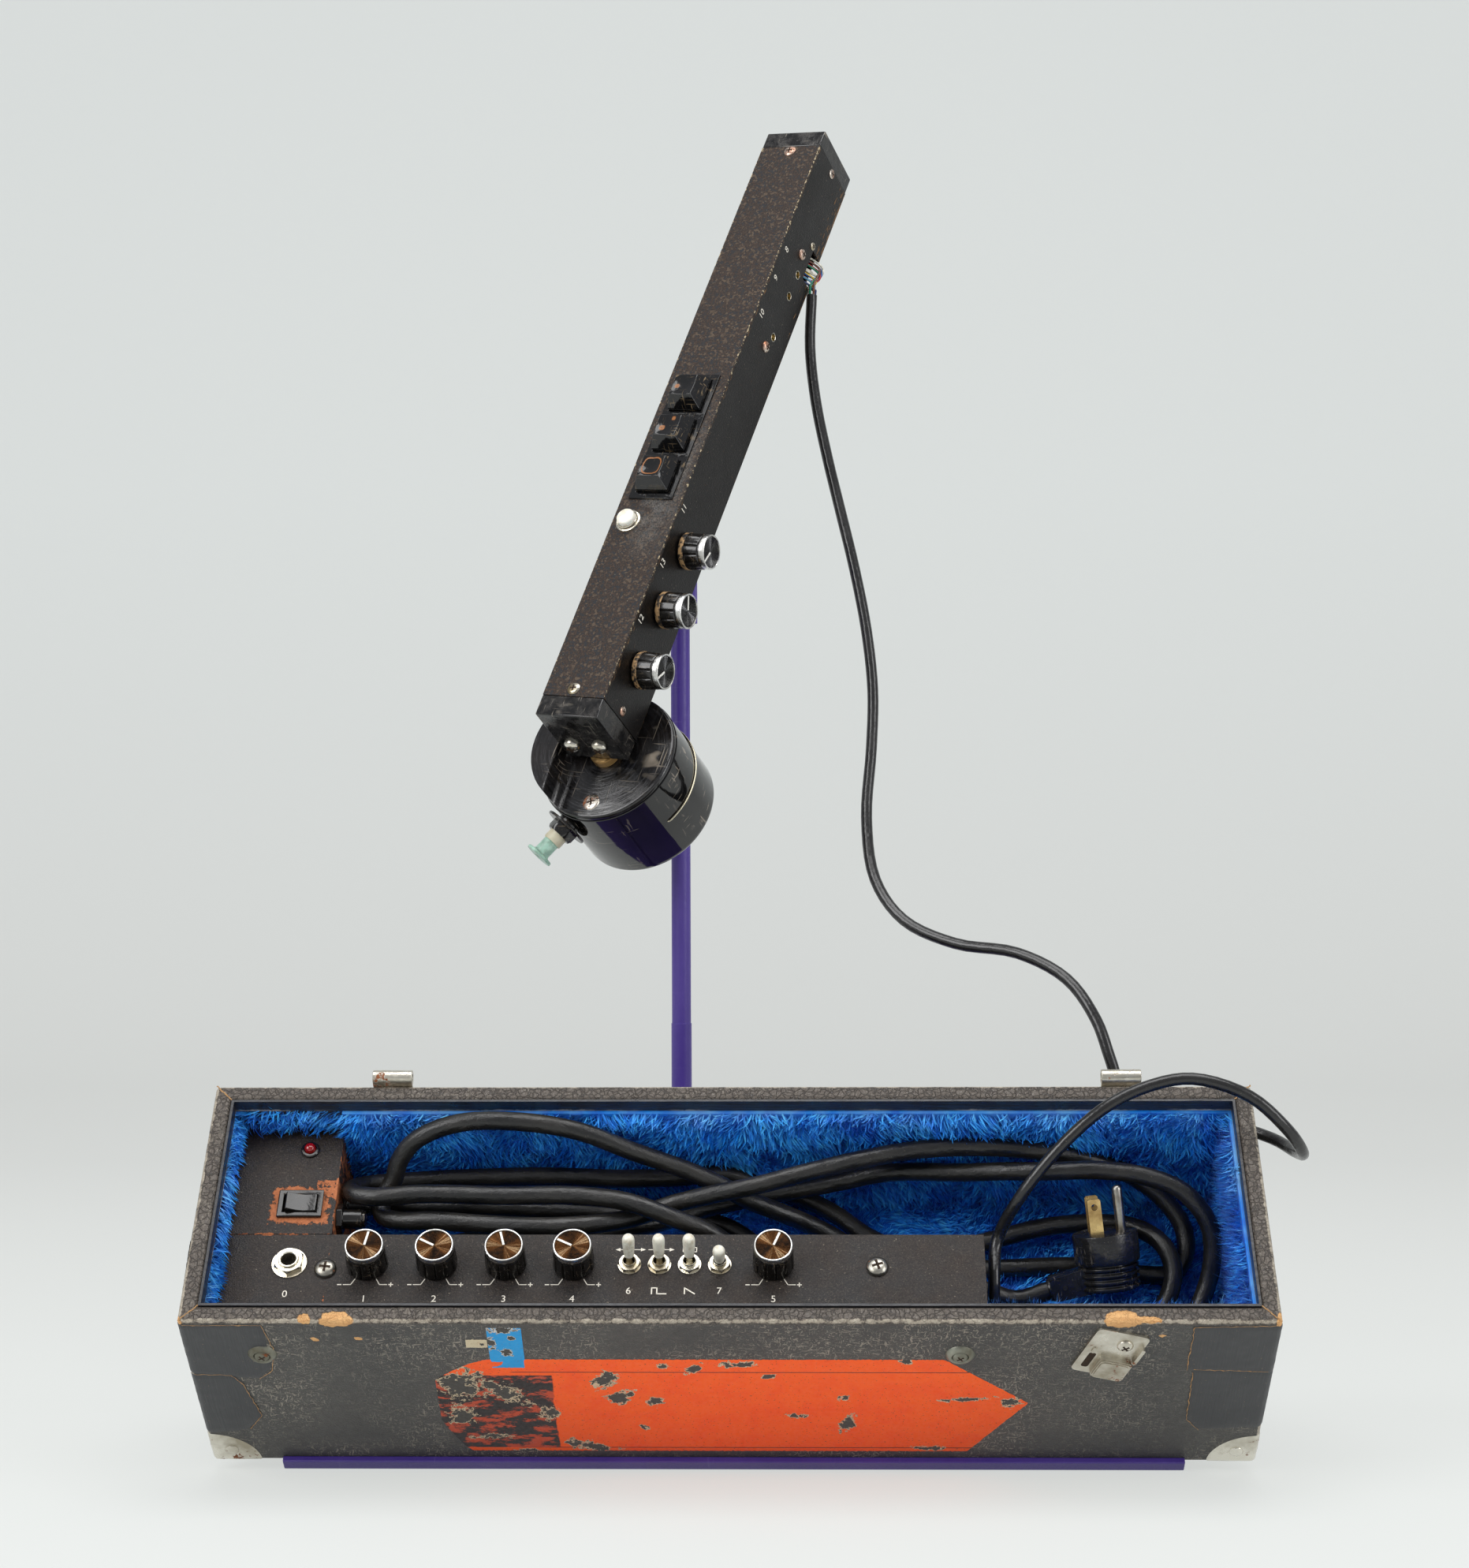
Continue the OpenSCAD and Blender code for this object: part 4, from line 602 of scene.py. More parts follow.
cloth = blend_of(on_top, cloth, blend_of(ragged, shade(74, 67, 61), shade(98, 89, 80)))
cloth = blend_of(times(cracks, 0.7), cloth, shade(38, 34, 31))
cloth = blend_of(times(dense[2], minus(0.75, times(on_top, 0.5))), cloth, shade(156, 148, 134))
cloth = blend_of(edge_worn, cloth, blend_of(ragged, shade(120, 104, 84), shade(196, 188, 172)))
vinyl.set(Base_Color=blend_of(bare, cloth, wood),
          Roughness=plus(between(ragged, 0.3, 0.7, 0.36, 0.58), times(bare, 0.3)))
vinyl.relief(minus(height, times(bare, 1.2)), 0.00042)

form = bmesh.new()
outer, inner = (case_half, 0.0, case_deep), (case_half - wall, wall, case_deep - wall)
loops = []
for (half, front, back), z in ((outer, 0), (outer, case_high), (inner, case_high), (inner, tray)):
    loops.append([form.verts.new(p) for p in ((-half, front, z), (half, front, z), (half, back, z),
        (-half, back, z))])
form.faces.new(loops[0][::-1])
for low, high in zip(loops, loops[1:]):
    for i in range(4):
        form.faces.new((low[i], low[(i + 1) % 4], high[(i + 1) % 4], high[i]))
form.faces.new(loops[3])
make("case_shell", form, case_mm, [vinyl],
     "case_front case_back case_sides floor_boards", "vinyl", 2.3, segments=4)

# The mitred joints of the covering at the rim's four corners, with their lifted pale edges.
form = bmesh.new()
for sx, y0, y1 in ((-1, 0.4, 8.6), (1, 0.4, 8.6), (-1, 131.6, 123.4), (1, 131.6, 123.4)):
    a, b = Vector((sx * 244.6, y0, 117.02)), Vector((sx * 236.4, y1, 117.02))
    across = (b - a).cross(Vector((0, 0, 1))).normalized()
    prior = None
    for k in range(15):
        p = a.lerp(b, k / 14) + across * 0.35 * noise.noise(a + Vector((k, 0, 0)))
        w = 0.25 + 0.4 * abs(noise.noise(a * 3 + Vector((k * 0.7, 0, 0))))
        now = [form.verts.new(p - across * w), form.verts.new(p + Vector((0, 0, 0.28))),
               form.verts.new(p + across * w)]
        if prior:
            form.faces.new((prior[0], now[0], now[1], prior[1]))
            form.faces.new((prior[1], now[1], now[2], prior[2]))
        prior = now
raw_edge = mottled("torn_vinyl_edge", (168, 122, 74), 0.8, (104, 62, 30), (214, 172, 118), 500.0)
make("rim_mitres", form, case_mm, [raw_edge], join=False)

binding = Finish("rim_binding", shade(30, 31, 36), 0.32)
spot = binding.within(case_mm)
xyz = axes(spot)
ragged = cloud(spot, 300.0, 4.0, 0.7)
frayed = times(between(plus(times(xyz[2], -1000.0), times(ragged, 3.0)), -109.6, -108.6),
              between(cloud(spot, 30.0), 0.4, 0.6))
binding.set(Base_Color=blend_of(frayed, blend_of(ragged, shade(22, 23, 27), shade(48, 48, 52)),
    shade(170, 160, 146)), Roughness=between(ragged, 0.3, 0.7, 0.24, 0.5))
binding.relief(cloud(stretched(spot, (40, 300, 600)), 1.0, 3.0), 0.0006)
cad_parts["rim_band"].data.materials.clear()
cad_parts["rim_band"].data.materials.append(binding.material)

# ---- Tape patches and worn labels on the front ----
# Black cloth tape is wrapped round the two front corners. A long orange label with a pointed end and a small
# blue one are half scraped off: they are printed paper, bare of any words, with cream edges where they tore.
def label_sheet(name, x0, x1, top, bottom, thick, material, tears=(), step=1.0, rows=60, seed=0, wrap=None,
        ragged=0.5):
    """A thin sheet on the case's front between two edge lines, in millimetres from the case's front foot."""
    random.seed(seed)
    form = bmesh.new()
    torn = form.verts.layers.float.new("torn")
    columns = int((x1 - x0) / step) + 1
    grid = []
    for i in range(columns + 1):
        x = x0 + (x1 - x0) * i / columns
        high = top(x) + ragged * noise.noise(Vector((x * 0.8, seed,
            0))) + ragged * 0.5 * noise.noise(Vector((x * 2.3, seed, 5)))
        low = bottom(x) + ragged * noise.noise(Vector((x * 0.8, seed,
            9))) + ragged * 0.5 * noise.noise(Vector((x * 2.3, seed, 3)))
        column = []
        for j in range(rows + 1):
            z = low + (high - low) * j / rows
            lift = thick * (1 + 0.8 * abs(noise.noise(Vector((x * 0.15, z * 0.15, seed)))))
            if j in (0, rows) or i in (0, columns):
                lift = 0.0
            point = wrap(x, z, lift) if wrap else Vector((x, -lift - 0.01, z))
            vertex = form.verts.new(point)
            value = 0.0
            for tx, tz, rx, rz, turn in tears:
                c, s = math.cos(turn), math.sin(turn)
                u, v = (x - tx) * c + (z - tz) * s, (z - tz) * c - (x - tx) * s
                value = max(value, 1.0 - math.hypot(u / rx, v / rz) * 0.5)
            vertex[torn] = value
            column.append(vertex)
        grid.append(column)
    for a, b in zip(grid, grid[1:]):
        for j in range(rows):
            form.faces.new((a[j], b[j], b[j + 1], a[j + 1]))
    return make(name, form, case_mm, [material], join=False, crease=60)


def paper_print(name, colour, second, paper_tone=(236, 222, 190)):
    """Printed paper, torn away to its pale pulp and then to the vinyl under it."""
    sheet = Finish(name, colour, 0.5)
    t = sheet.tree
    spot = sheet.within(case_mm)
    loose = sheet.read("torn")
    fibres = cloud(spot, 170.0, 5.0, 0.68, 0.6)
    crumbs = cloud(spot, 520.0, 3.0, 0.6)
    torn = plus(loose, times(minus(fibres, 0.5), 1.5), times(minus(crumbs, 0.5), 0.7))
    gone, pulp = between(torn, 0.66, 0.68), between(torn, 0.56, 0.58)
    rubbed = blend_of(between(cloud(spot, 60.0, 5.0, 0.7), 0.45, 0.75), colour, second)
    specks = between(cloud(spot, 1100.0, 2.0), 0.66, 0.7)
    pages = blend_of(times(specks, 0.8), rubbed, shade(118, 60, 30))
    cream = blend_of(crumbs, shade(*paper_tone), shade(176, 150, 112))
    sheet.set(Base_Color=blend_of(gone, blend_of(pulp, pages, cream), shade(62, 59, 54)),
              Roughness=between(crumbs, 0.3, 0.7, 0.42, 0.66))
    sheet.relief(plus(times(plus(gone, pulp), -0.5), times(fibres, 0.25)), 0.00035)
    return sheet, t, spot, pulp, gone, pages, cream


orange, t, spot, pulp, gone, pages, cream = paper_print("orange_label_print", shade(255, 96, 14),
    shade(250, 78, 8))
xyz = axes(spot)
rules = 0.0
for z in (0.0764, 0.0122):
    rules = most(between(apart(xyz[2], z), 0.00042, 0.00025), rules)
rules = times(rules, between(xyz[0], -0.1, -0.098))
wobble = plus(xyz[0], times(cloud(spot, 120.0), 0.003))
dark_end = times(between(wobble, -0.0790, -0.0796), between(xyz[2], 0.0118, 0.0124))
dark_end = times(dark_end, between(xyz[2], 0.0740, 0.0734))
faded = between(cloud(stretched(spot, (60, 60, 130)), 1.0, 5.0, 0.7), 0.5, 0.56)
dark_ink = blend_of(faded, shade(30, 20, 20), shade(196, 74, 40))
pages = blend_of(dark_end, blend_of(times(rules, 0.85), pages, shade(70, 26, 18)), dark_ink)
orange.set(Base_Color=blend_of(gone, blend_of(pulp, pages, cream), shade(62, 59, 54)))


def orange_top(x):
    left = 86.6 - 16 * max(0, (-107 - x) / 26) ** 1.6
    return left if x < 97 else 86.6 - (x - 97) * (86.6 - 51.0) / 39.2


def orange_bottom(x):
    left = 9.0 + 30 * max(0, (-121 - x) / 14) ** 1.5
    return left if x < 110 else 9.0 + (x - 110) * (50.4 - 9.0) / 26


label_sheet("orange_label", -134, 136, orange_top, orange_bottom, 0.14, orange,
            ((-122, 66, 12, 13, 0.3), (-124, 40, 7, 10, 0), (-104, 60, 6, 14, 0.8), (-112, 22, 9, 2.5, 0.1),
             (-66, 13, 15, 4.2, -0.35), (-95, 8, 9, 3, 0), (-57, 70, 6, 8, -0.5), (-50, 56, 9, 5, 0.6),
             (-34, 52, 4, 4, 0), (-16, 79, 6, 3.0, 0.8), (4, 83, 9, 3, 0), (18, 73, 4, 1.8, 0.2),
             (52, 55, 3, 3, 0), (54, 34, 3.4, 8, -0.3), (30, 40, 6, 2.2, 0), (107, 54, 14, 1.8, 0.1),
             (92, 12, 8, 2.4, 0), (80, 85, 5, 2, 0), (-84, 42, 5, 6, 0), (-30, 81, 4, 2.5, 0),
             (129, 51, 5, 4, 0), (-40, 30, 2, 3, 0.5)), rows=76, seed=3, ragged=0.6)
blue_print = paper_print("blue_label_print", shade(20, 150, 214), shade(34, 164, 224), (228, 236, 236))[0]
label_sheet("blue_label", -107.6, -92.0, lambda x: 112.0, lambda x: 79.6, 0.16, blue_print,
            ((-101, 111, 7, 3.2, 0), (-106, 100, 3, 5, 0), (-99, 93, 3, 4, 0.4), (-97, 104, 2, 2, 0)), 0.5,
            64, 8, ragged=0.35)
cream_strip = paper_print("cream_strip_paper", shade(206, 192, 160), shade(186, 170, 136))[0]
label_sheet("cream_strip", -117.5, -107.9, lambda x: 102.6, lambda x: 96.2, 0.16, cream_strip,
            ((-110, 99, 2.5, 2, 0),), 0.5, 14, 11, ragged=0.6)

tape = Finish("cloth_tape", shade(52, 53, 55), 0.46)
spot = tape.within(case_mm)
marks = tape.marks(1.0, 0.7, spot)
edge_lint = between(tape.read("torn"), 0.5, 0.8)
ribs = stretched(spot, (900, 60, 60))
tape.set(Base_Color=blend_of(most(times(marks[1], 0.6), edge_lint),
                             blend_of(marks[2], shade(42, 43, 45), shade(60, 61, 63)), shade(150, 128, 94)),
         Roughness=between(marks[2], 0.3, 0.7, 0.38, 0.56))
tape.relief(plus(cloud(ribs, 1.0, 2.0), times(cloud(spot, 50.0, 2.0), 2.0)), 0.00030)


def round_corner(side):
    """Carries a sheet from the front on round the case's left or right front corner."""
    def place(x, z, lift):
        out = side * x - case_half
        bump = lift + 0.02
        if out < -skin_round:
            return Vector((x, -bump, z))
        turn = min(1.0, (out + skin_round) / 3.6) * math.pi / 2
        centre = Vector((side * (case_half - skin_round), skin_round, z))
        on = centre + Vector((side * math.sin(turn), -math.cos(turn), 0)) * (skin_round + bump)
        return on + Vector((0, max(0.0, out - 1.3), 0))
    return place


def tear_line(points):
    """A straight-line edge through (x, z) points."""
    def edge_at(x):
        for (x0, z0), (x1, z1) in zip(points, points[1:]):
            if x <= x1:
                return z0 + (z1 - z0) * min(1, max(0, (x - x0) / (x1 - x0)))
        return points[-1][1]
    return edge_at


tapes = (("tape_left_upper", -1, -288, -207, [(-288, 116), (-245, 114), (-208, 114.3)],
          [(-288, 80), (-232, 73), (-214, 71), (-207, 80)]),
         ("tape_left_lower", -1, -280, -217, [(-280, 84), (-262, 79), (-245, 74), (-226, 74), (-222, 68),
    (-217, 40)], [(-280, 34), (-246, 24), (-226, 27), (-217, 38)]),
         ("tape_right_upper", 1, 206, 286, [(206, 113.5), (214, 114.2), (286, 113)],
          [(206, 79), (245, 76), (286, 70)]), ("tape_right_lower", 1, 209, 280,
    [(209, 80), (245, 77.6), (280, 73)], [(209, 38), (216, 29), (245, 31), (280, 33)]))
for seed, (name, side, x0, x1, top_line, low_line) in enumerate(tapes, 21):
    label_sheet(name, x0, x1, tear_line(top_line), tear_line(low_line), 0.30, tape, (), 1.4, 24, seed,
                round_corner(side), 0.8)

# The pale lint that shows along the tape's cut edges.
form = bmesh.new()
for line in ([(-244, 114.2), (-207.6, 114.4), (-204.5, 96), (-207, 78), (-214, 70.6)],
        [(-248, 74.5), (-226.5, 74), (-222, 66), (-217, 40), (-224, 28)],
        [(206, 79), (206.3, 113.4), (244, 114.6)], [(209, 79.5), (245, 77.6)],
        [(209, 77), (209.4, 38), (216, 28.6)]):
    prior = None
    for (x0, z0), (x1, z1) in zip(line, line[1:]):
        count = max(3, int(math.hypot(x1 - x0, z1 - z0) / 1.2))
        for k in range(count + 1):
            x, z = x0 + (x1 - x0) * k / count, z0 + (z1 - z0) * k / count
            across = Vector((z0 - z1, 0, x1 - x0)).normalized()
            wander = across * 0.6 * noise.noise(Vector((x * 0.4, z * 0.4, 7)))
            half = 0.12 + 0.35 * max(0, noise.noise(Vector((x * 0.6, z * 0.6, 2))))
            p = Vector((x, -0.42, z)) + wander
            if abs(x) > 243:
                p.x, p.y = math.copysign(min(abs(x), 245.25), x), 0.8
            now = [form.verts.new(p - across * half), form.verts.new(p + across * half)]
            if prior:
                form.faces.new((prior[0], now[0], now[1], prior[1]))
            prior = now
make("tape_edge_lint", form, case_mm, [raw_edge], join=False)

# ---- Case hardware ----
# Pressed nickel-plated steel: quarter-disc caps over the bottom corners, the case's halves of two lift-off
# hinges, half of a draw latch hanging askew on one screw, and raised-head screws in dished finishing washers.
def plated(name, bright, dull, rust=0.0, rough=(0.2, 0.42), size=1.0, pits=0.00012):
    """Bright metal with dull patches, scratches and, where wanted, rust in spots."""
    metal = Finish(name, bright, rough[0], 1.0)
    marks = metal.marks(size, 0.8)
    patchy = between(marks[2], 0.38, 0.66)
    colour = blend_of(patchy, bright, dull)
    gloss = plus(between(patchy, 0, 1, *rough), times(marks[0], 0.25))
    height = times(marks[0], -0.4)
    if rust:
        spots = plus(cloud(metal.place, 210 * size, 5.0, 0.7), times(cloud(metal.place, 45 * size), 0.6))
        rusted = between(spots, 0.97 - 0.2 * rust, 1.03 - 0.2 * rust)
        colour = blend_of(rusted, colour, blend_of(cloud(metal.place, 900.0), shade(88, 46, 22),
            shade(158, 92, 48)))
        gloss = plus(gloss, times(rusted, 0.4))
        metal.set(Metallic=between(rusted, 0, 1, 1.0, 0.1))
        height = plus(height, times(rusted, -0.8))
    metal.set(Base_Color=colour, Roughness=gloss)
    metal.relief(plus(height, cloud(metal.place, 800.0 * size, 2.0)), pits)
    return metal


nickel = plated("worn_nickel", shade(226, 222, 210), shade(168, 160, 142), 0.30, (0.24, 0.46))
old_zinc = plated("washer_zinc", shade(160, 162, 150), shade(104, 100, 86), 0.25, (0.34, 0.56))


def dressed(name, node, finishes, bevel=0.4, slot=None, crease=35, body="instrument"):
    """A copy of a solid with its triangles merged, its edges eased and its finish on."""
    form = bmesh.new()
    form.from_mesh(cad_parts[node].data)
    bmesh.ops.remove_doubles(form, verts=form.verts, dist=2e-6)
    bmesh.ops.dissolve_limit(form, angle_limit=math.radians(0.8), verts=form.verts, edges=form.edges)
    for face in form.faces:
        face.material_index = 0
    return claim(settled(name, form, Matrix.Identity(4), finishes, crease, bevel), body, node, slot)


cap_reach, rivet_in = 23.0, 9.7
form = bmesh.new()
for sx in (-1, 1):
    for front in (True, False):
        corner = Vector((sx * case_half, 0 if front else case_deep, 0))
        inward = Vector((-sx, 1 if front else -1, 1))
        for axis in range(3):
            u, v = [a for a in range(3) if a != axis]
            rows = []
            for i in range(25):
                r = cap_reach * i / 24
                row = []
                for k in range(19):
                    a = math.pi / 2 * k / 18
                    p = Vector((0, 0, 0))
                    p[u], p[v] = r * math.cos(a), r * math.sin(a)
                    q = Vector([max(c, skin_round) for c in p])
                    away = math.hypot(p[u] - rivet_in, p[v] - rivet_in)
                    lift = 0.45 + 0.55 * math.exp(-((away
                        - 6.6) / 1.1) ** 2) - 0.25 * math.exp(-(away / 3.5) ** 2)
                    if i == 24:
                        lift = 0.02
                    on = q + (p - q).normalized() * (skin_round + min(lift, 0.78))
                    row.append(form.verts.new(corner + Vector([on[c] * inward[c] for c in range(3)])))
                rows.append(row)
            for low, high in zip(rows, rows[1:]):
                for k in range(18):
                    form.faces.new((low[k], low[k + 1], high[k + 1], high[k]))
for x in (-1, 1):
    for y, turn in ((-0.25, 90), (132.25, -90)):
        turned(form, [(3.4, 0), (3.2, 0.45), (2.4, 1.05), (1.2, 1.4), (0, 1.5)], 24,
               move(x * (245 - rivet_in), y, rivet_in) @ spin(turn, "X"))
make("corner_caps_pressed", form, case_mm, [nickel], "corner_caps", "plated_steel", crease=50)


def cross_head(form, radius, height, place, finish=0, sides=28):
    """A raised screw head; its cross recess is a raised cross in the next finish, coloured dark as painted
    shade of the hollow.
    """
    dome = [(radius, 0), (radius, height * 0.22), (radius * 0.9, height * 0.55),
            (radius * 0.66, height * 0.86), (radius * 0.36, height * 0.98), (0, height)]
    turned(form, dome, sides, place, finish)
    arm, wide = radius * 0.52, radius * 0.12
    for turn in (0, 90):
        base = place @ spin(turn, "Z")
        slab(form, (-arm, -wide, height * 0.6), (arm, wide, height * 1.03), base, finish + 1)


# Colour of the cross recesses: grime, and painted shade for the depth that the raised cross lacks.
recess = mottled("screw_recess", (34, 26, 18), 0.7, (20, 16, 12), (70, 48, 28), 700.0, metal=0.4)

form = bmesh.new()
for x in (-210, 103.7):
    seat = move(x, 0, 91) @ spin(90, "X")
    turned(form, [(6.7, 0), (6.6, 0.35), (5.2, 1.75), (4.6, 2.0), (4.0, 1.9), (3.5, 1.2), (0, 1.1)], 36, seat)
    cross_head(form, 3.5, 1.5, seat @ move(0, 0, 1.1) @ Matrix.Rotation(0.6, 4, "Z"))
make("finishing_washers", form, case_mm, [old_zinc, recess], "front_hardware", "plated_steel", 0.12)


def rounded(low, high, radius):
    """A rectangle's outline with round corners."""
    (x0, y0), (x1, y1) = low, high
    corners = ((x1 - radius, y1 - radius, 0), (x0 + radius, y1 - radius, 90), (x0 + radius, y0 + radius, 180),
               (x1 - radius, y0 + radius, 270))
    return [(x + radius * math.cos(math.radians(start + a)), y + radius * math.sin(math.radians(start + a)))
            for x, y, start in corners for a in (0, 22, 45, 68, 90)]


form = bmesh.new()
latch = move(170.5, 0, 93.5) @ spin(90, "X") @ spin(-19, "Z")
prism(form, rounded((-12.5, -17.0), (12.5, 17.0), 2.6), 0.0, 1.3, latch)
for grow, low, high in ((0, 1.2, 3.4), (0.5, 3.4, 4.1), (1.2, 4.1, 4.5)):
    prism(form, rounded((-4.0 + grow, -16.2 + grow), (11.9 - grow, -2.0 - grow), 2.2), low, high, latch)
prism(form, rounded((10.8, -1.5), (12.5, 10.5), 0.8), 1.2, 3.8, latch)
prism(form, rounded((-9.2, -13.0), (-5.8, -1.5), 1.2), 1.25, 1.36, latch, 1)
prism(form, rounded((-9.2, -1.0), (-7.4, 3.0), 0.8), 1.25, 1.9, latch)
cross_head(form, 3.7, 1.9, latch @ move(3.5, 8.5, 1.3) @ Matrix.Rotation(0.9, 4, "Z"))
make("hanging_latch", form, case_mm, [nickel, recess], bevel=0.25)
dressed("hinge_halves", "hinge_leaves", [nickel], 0.25, "plated_steel")

# ---- Fur lining ----
# The bay is lined with bright blue long-pile fake fur, glued to the tray and up the walls. Tufts are
# scattered over the lining and lean the way the pile is brushed. Painted shade darkens the furrows where
# the pile parts and each tuft's root, and the colour turns paler in patches near the rim.
fur = Finish("blue_pile", shade(0, 100, 205), 0.62, Sheen_Weight=0.12, Sheen_Roughness=0.4)
strand, tip = fur.read("strand"), fur.read("tip")
spot = fur.within(case_mm)
xyz = axes(spot)
# Painted shade: darker furrows where the pile parts, from a stretched noise.
painted_furrow_shade = between(cloud(stretched(spot, (90, 90, 60)), 1.0, 3.0, 0.6, 0.8), 0.36, 0.62)
pile_colour_with_painted_shade = blend_of(painted_furrow_shade, shade(0, 114, 230), shade(8, 158, 255))
pile_colour_with_painted_shade = blend_of(strand, pile_colour_with_painted_shade, blend_of(painted_furrow_shade, shade(0, 134, 242), shade(78, 196, 255)))
# Painted shade: each tuft is darker towards its root, down in the pile.
pile_colour_with_painted_shade = blend_of(between(tip, 0.0, 0.5, 0.40, 0.0), pile_colour_with_painted_shade, shade(0, 64, 164))
# Paler in patches towards the rim.
pale = times(between(xyz[2], 0.098, 0.110), between(cloud(spot, 50.0, 3.0), 0.35, 0.7))
fur.set(Base_Color=blend_of(times(pale, 0.45), pile_colour_with_painted_shade, shade(150, 206, 232)),
        Roughness=between(strand, 0.0, 1.0, 0.5, 0.8))

fur_low, fur_high = 37.0, 109.8
pile = bpy.data.node_groups.new("brushed_pile", "GeometryNodeTree")
pile.interface.new_socket("Geometry", in_out="OUTPUT", socket_type="NodeSocketGeometry")
take(pile, (("Geometry", "Geometry", None), ("Tuft", "Object", None), ("Finish", "Material", None),
            ("Per Square Metre", "Float", 300000.0), ("Lean", "Float", 1.1), ("Seed", "Int", 1)))
given = pile.nodes.new("NodeGroupInput").outputs
spread = add(pile, "GeometryNodeDistributePointsOnFaces", Mesh=given["Geometry"],
             Density=given["Per Square Metre"], Seed=given["Seed"])
where = add(pile, "GeometryNodeInputPosition").outputs[0]
brushed = add(pile, "ShaderNodeTexNoise", {"noise_dimensions": "3D"}, Vector=where, Scale=38.0,
              Detail=2.0).outputs[1]
swirl = vector("SUBTRACT", brushed, (0.5, 0.5, 0.5))
flow = vector("MULTIPLY_ADD", swirl, (5.0, 5.0, 3.2), (-0.35, 0.1, -0.2))
stray = add(pile, "FunctionNodeRandomValue", {"data_type": "FLOAT_VECTOR"}, _0=(-0.5, -0.5, -0.5),
            _1=(0.5, 0.5, 0.5), Seed=given["Seed"]).outputs[0]
leaned = vector("ADD", flow, stray)
sized = vector("SCALE", leaned, Scale=given["Lean"])
ahead = vector("ADD", spread.outputs["Normal"], sized)
turn = add(pile, "FunctionNodeAlignRotationToVector", {"axis": "Z"}, Vector=ahead).outputs[0]
long = add(pile, "FunctionNodeRandomValue", {"data_type": "FLOAT"}, _2=0.6, _3=1.25,
           Seed=given["Seed"]).outputs[1]
planted = add(pile, "GeometryNodeInstanceOnPoints", Points=spread.outputs["Points"], Rotation=turn,
              Instance=add(pile, "GeometryNodeObjectInfo", _0=given["Tuft"]).outputs["Geometry"],
              Scale=long).outputs[0]
shade_of = add(pile, "FunctionNodeRandomValue", {"data_type": "FLOAT"}, _2=0.0, _3=1.0, Seed=7).outputs[1]
marked = add(pile, "GeometryNodeStoreNamedAttribute", {"data_type": "FLOAT", "domain": "INSTANCE"},
             Geometry=planted, Name="strand", Value=shade_of).outputs[0]
real = add(pile, "GeometryNodeRealizeInstances", Geometry=marked).outputs[0]
done = add(pile, "GeometryNodeSetMaterial", Geometry=real, Material=given["Finish"]).outputs[0]
pile.links.new(done, pile.nodes.new("NodeGroupOutput").inputs[0])


def laid(tree, source, **values):
    """Runs a Geometry Nodes tree on an object and leaves it as a plain mesh."""
    grown = source.modifiers.new("grown", "NODES")
    grown.node_group = tree
    names = {item.name: item.identifier for item in tree.interface.items_tree if item.in_out == "INPUT"}
    for label, value in values.items():
        grown[names[label.replace("_", " ")]] = value
    bpy.context.view_layer.update()
    mesh = bpy.data.meshes.new_from_object(source.evaluated_get(bpy.context.evaluated_depsgraph_get()))
    source.modifiers.clear()
    source.data = mesh
    return source


tuft_mesh = bpy.data.meshes.new("tuft")
line = [(0, 0.34, 0), (0.5, 0.42, 2.2), (1.6, 0.28, 4.4), (3.0, 0.0, 6.2)]
points = [(x / 1000, s * w / 1000, z / 1000) for x, w, z in line[:3] for s in (-1, 1)] + [(0.003, 0, 0.0062)]
tuft_mesh.from_pydata(points, [], [(0, 1, 3, 2), (2, 3, 5, 4), (4, 5, 6)])
tuft_mesh.attributes.new("tip", "FLOAT", "POINT").data.foreach_set("value", [0, 0, 0.4, 0.4, 0.75, 0.75, 1.0])
tuft = bpy.data.objects.new("tuft", tuft_mesh)

panel_right, box_right = 117.0, -185.0


def floor_quad(x0, y0, x1, y1):
    return [(x0, y0, fur_low), (x1, y0, fur_low), (x1, y1, fur_low), (x0, y1, fur_low)]


def wall_quad(start, end, low=fur_low, high=fur_high):
    """An upright patch from one (x, y) to another."""
    return [(*start, low), (*end, low), (*end, high), (*start, high)]


patches = {"fur_floor": [floor_quad(box_right, 64, 236, 123), floor_quad(panel_right - 14, 9, 236, 64)],
           "fur_back_wall": [wall_quad((box_right, 120.5), (236, 120.5))],
           "fur_right_wall": [wall_quad((233.5, 123), (233.5, 9)),
    wall_quad((236, 11.5), (panel_right + 2, 11.5))], "fur_left_and_back": [wall_quad((-236.2, 9),
    (-236.2, 123), 95.6, 110), wall_quad((-236, 123.3), (box_right, 123.3), 95.6, 110)],
           "fur_front_fuzz": [wall_quad((panel_right, 8.8), (-236, 8.8), 95.4, 96.0)]}
for order, (name, quads) in enumerate(patches.items()):
    mesh = bpy.data.meshes.new(name)
    mesh.from_pydata([case_mm @ Vector(p) for quad in quads for p in quad], [],
                     [tuple(range(4 * i, 4 * i + 4)) for i in range(len(quads))])
    grown = bpy.data.objects.new(name, mesh)
    scene.collection.objects.link(grown)
    laid(pile, grown, Tuft=tuft, Finish=fur.material, Per_Square_Metre=900000.0 if order < 4 else 2400000.0,
         Seed=3 + order)
    claim(grown, "instrument", slot="fur")
# The backing that the pile grows from, a little uneven where the glue has let go.
form = bmesh.new()
for low, high in (((box_right, 62, fur_low - 3), (236.4, 123.4, fur_low - 0.2)),
        ((-236, 9, fur_low - 3), (236.4, 62, fur_low - 0.2)),
        ((box_right, 120.8, fur_low - 0.4), (236.4, 123.4, fur_high)),
        ((233.8, 8.6, fur_low - 0.4), (236.4, 123, fur_high)),
        ((panel_right + 1, 8.6, fur_low - 0.4), (236, 11.2, fur_high))):
    slab(form, low, high)
make("fur_backing", form, case_mm, [fur], "fur_lining", "fur", 0.8)

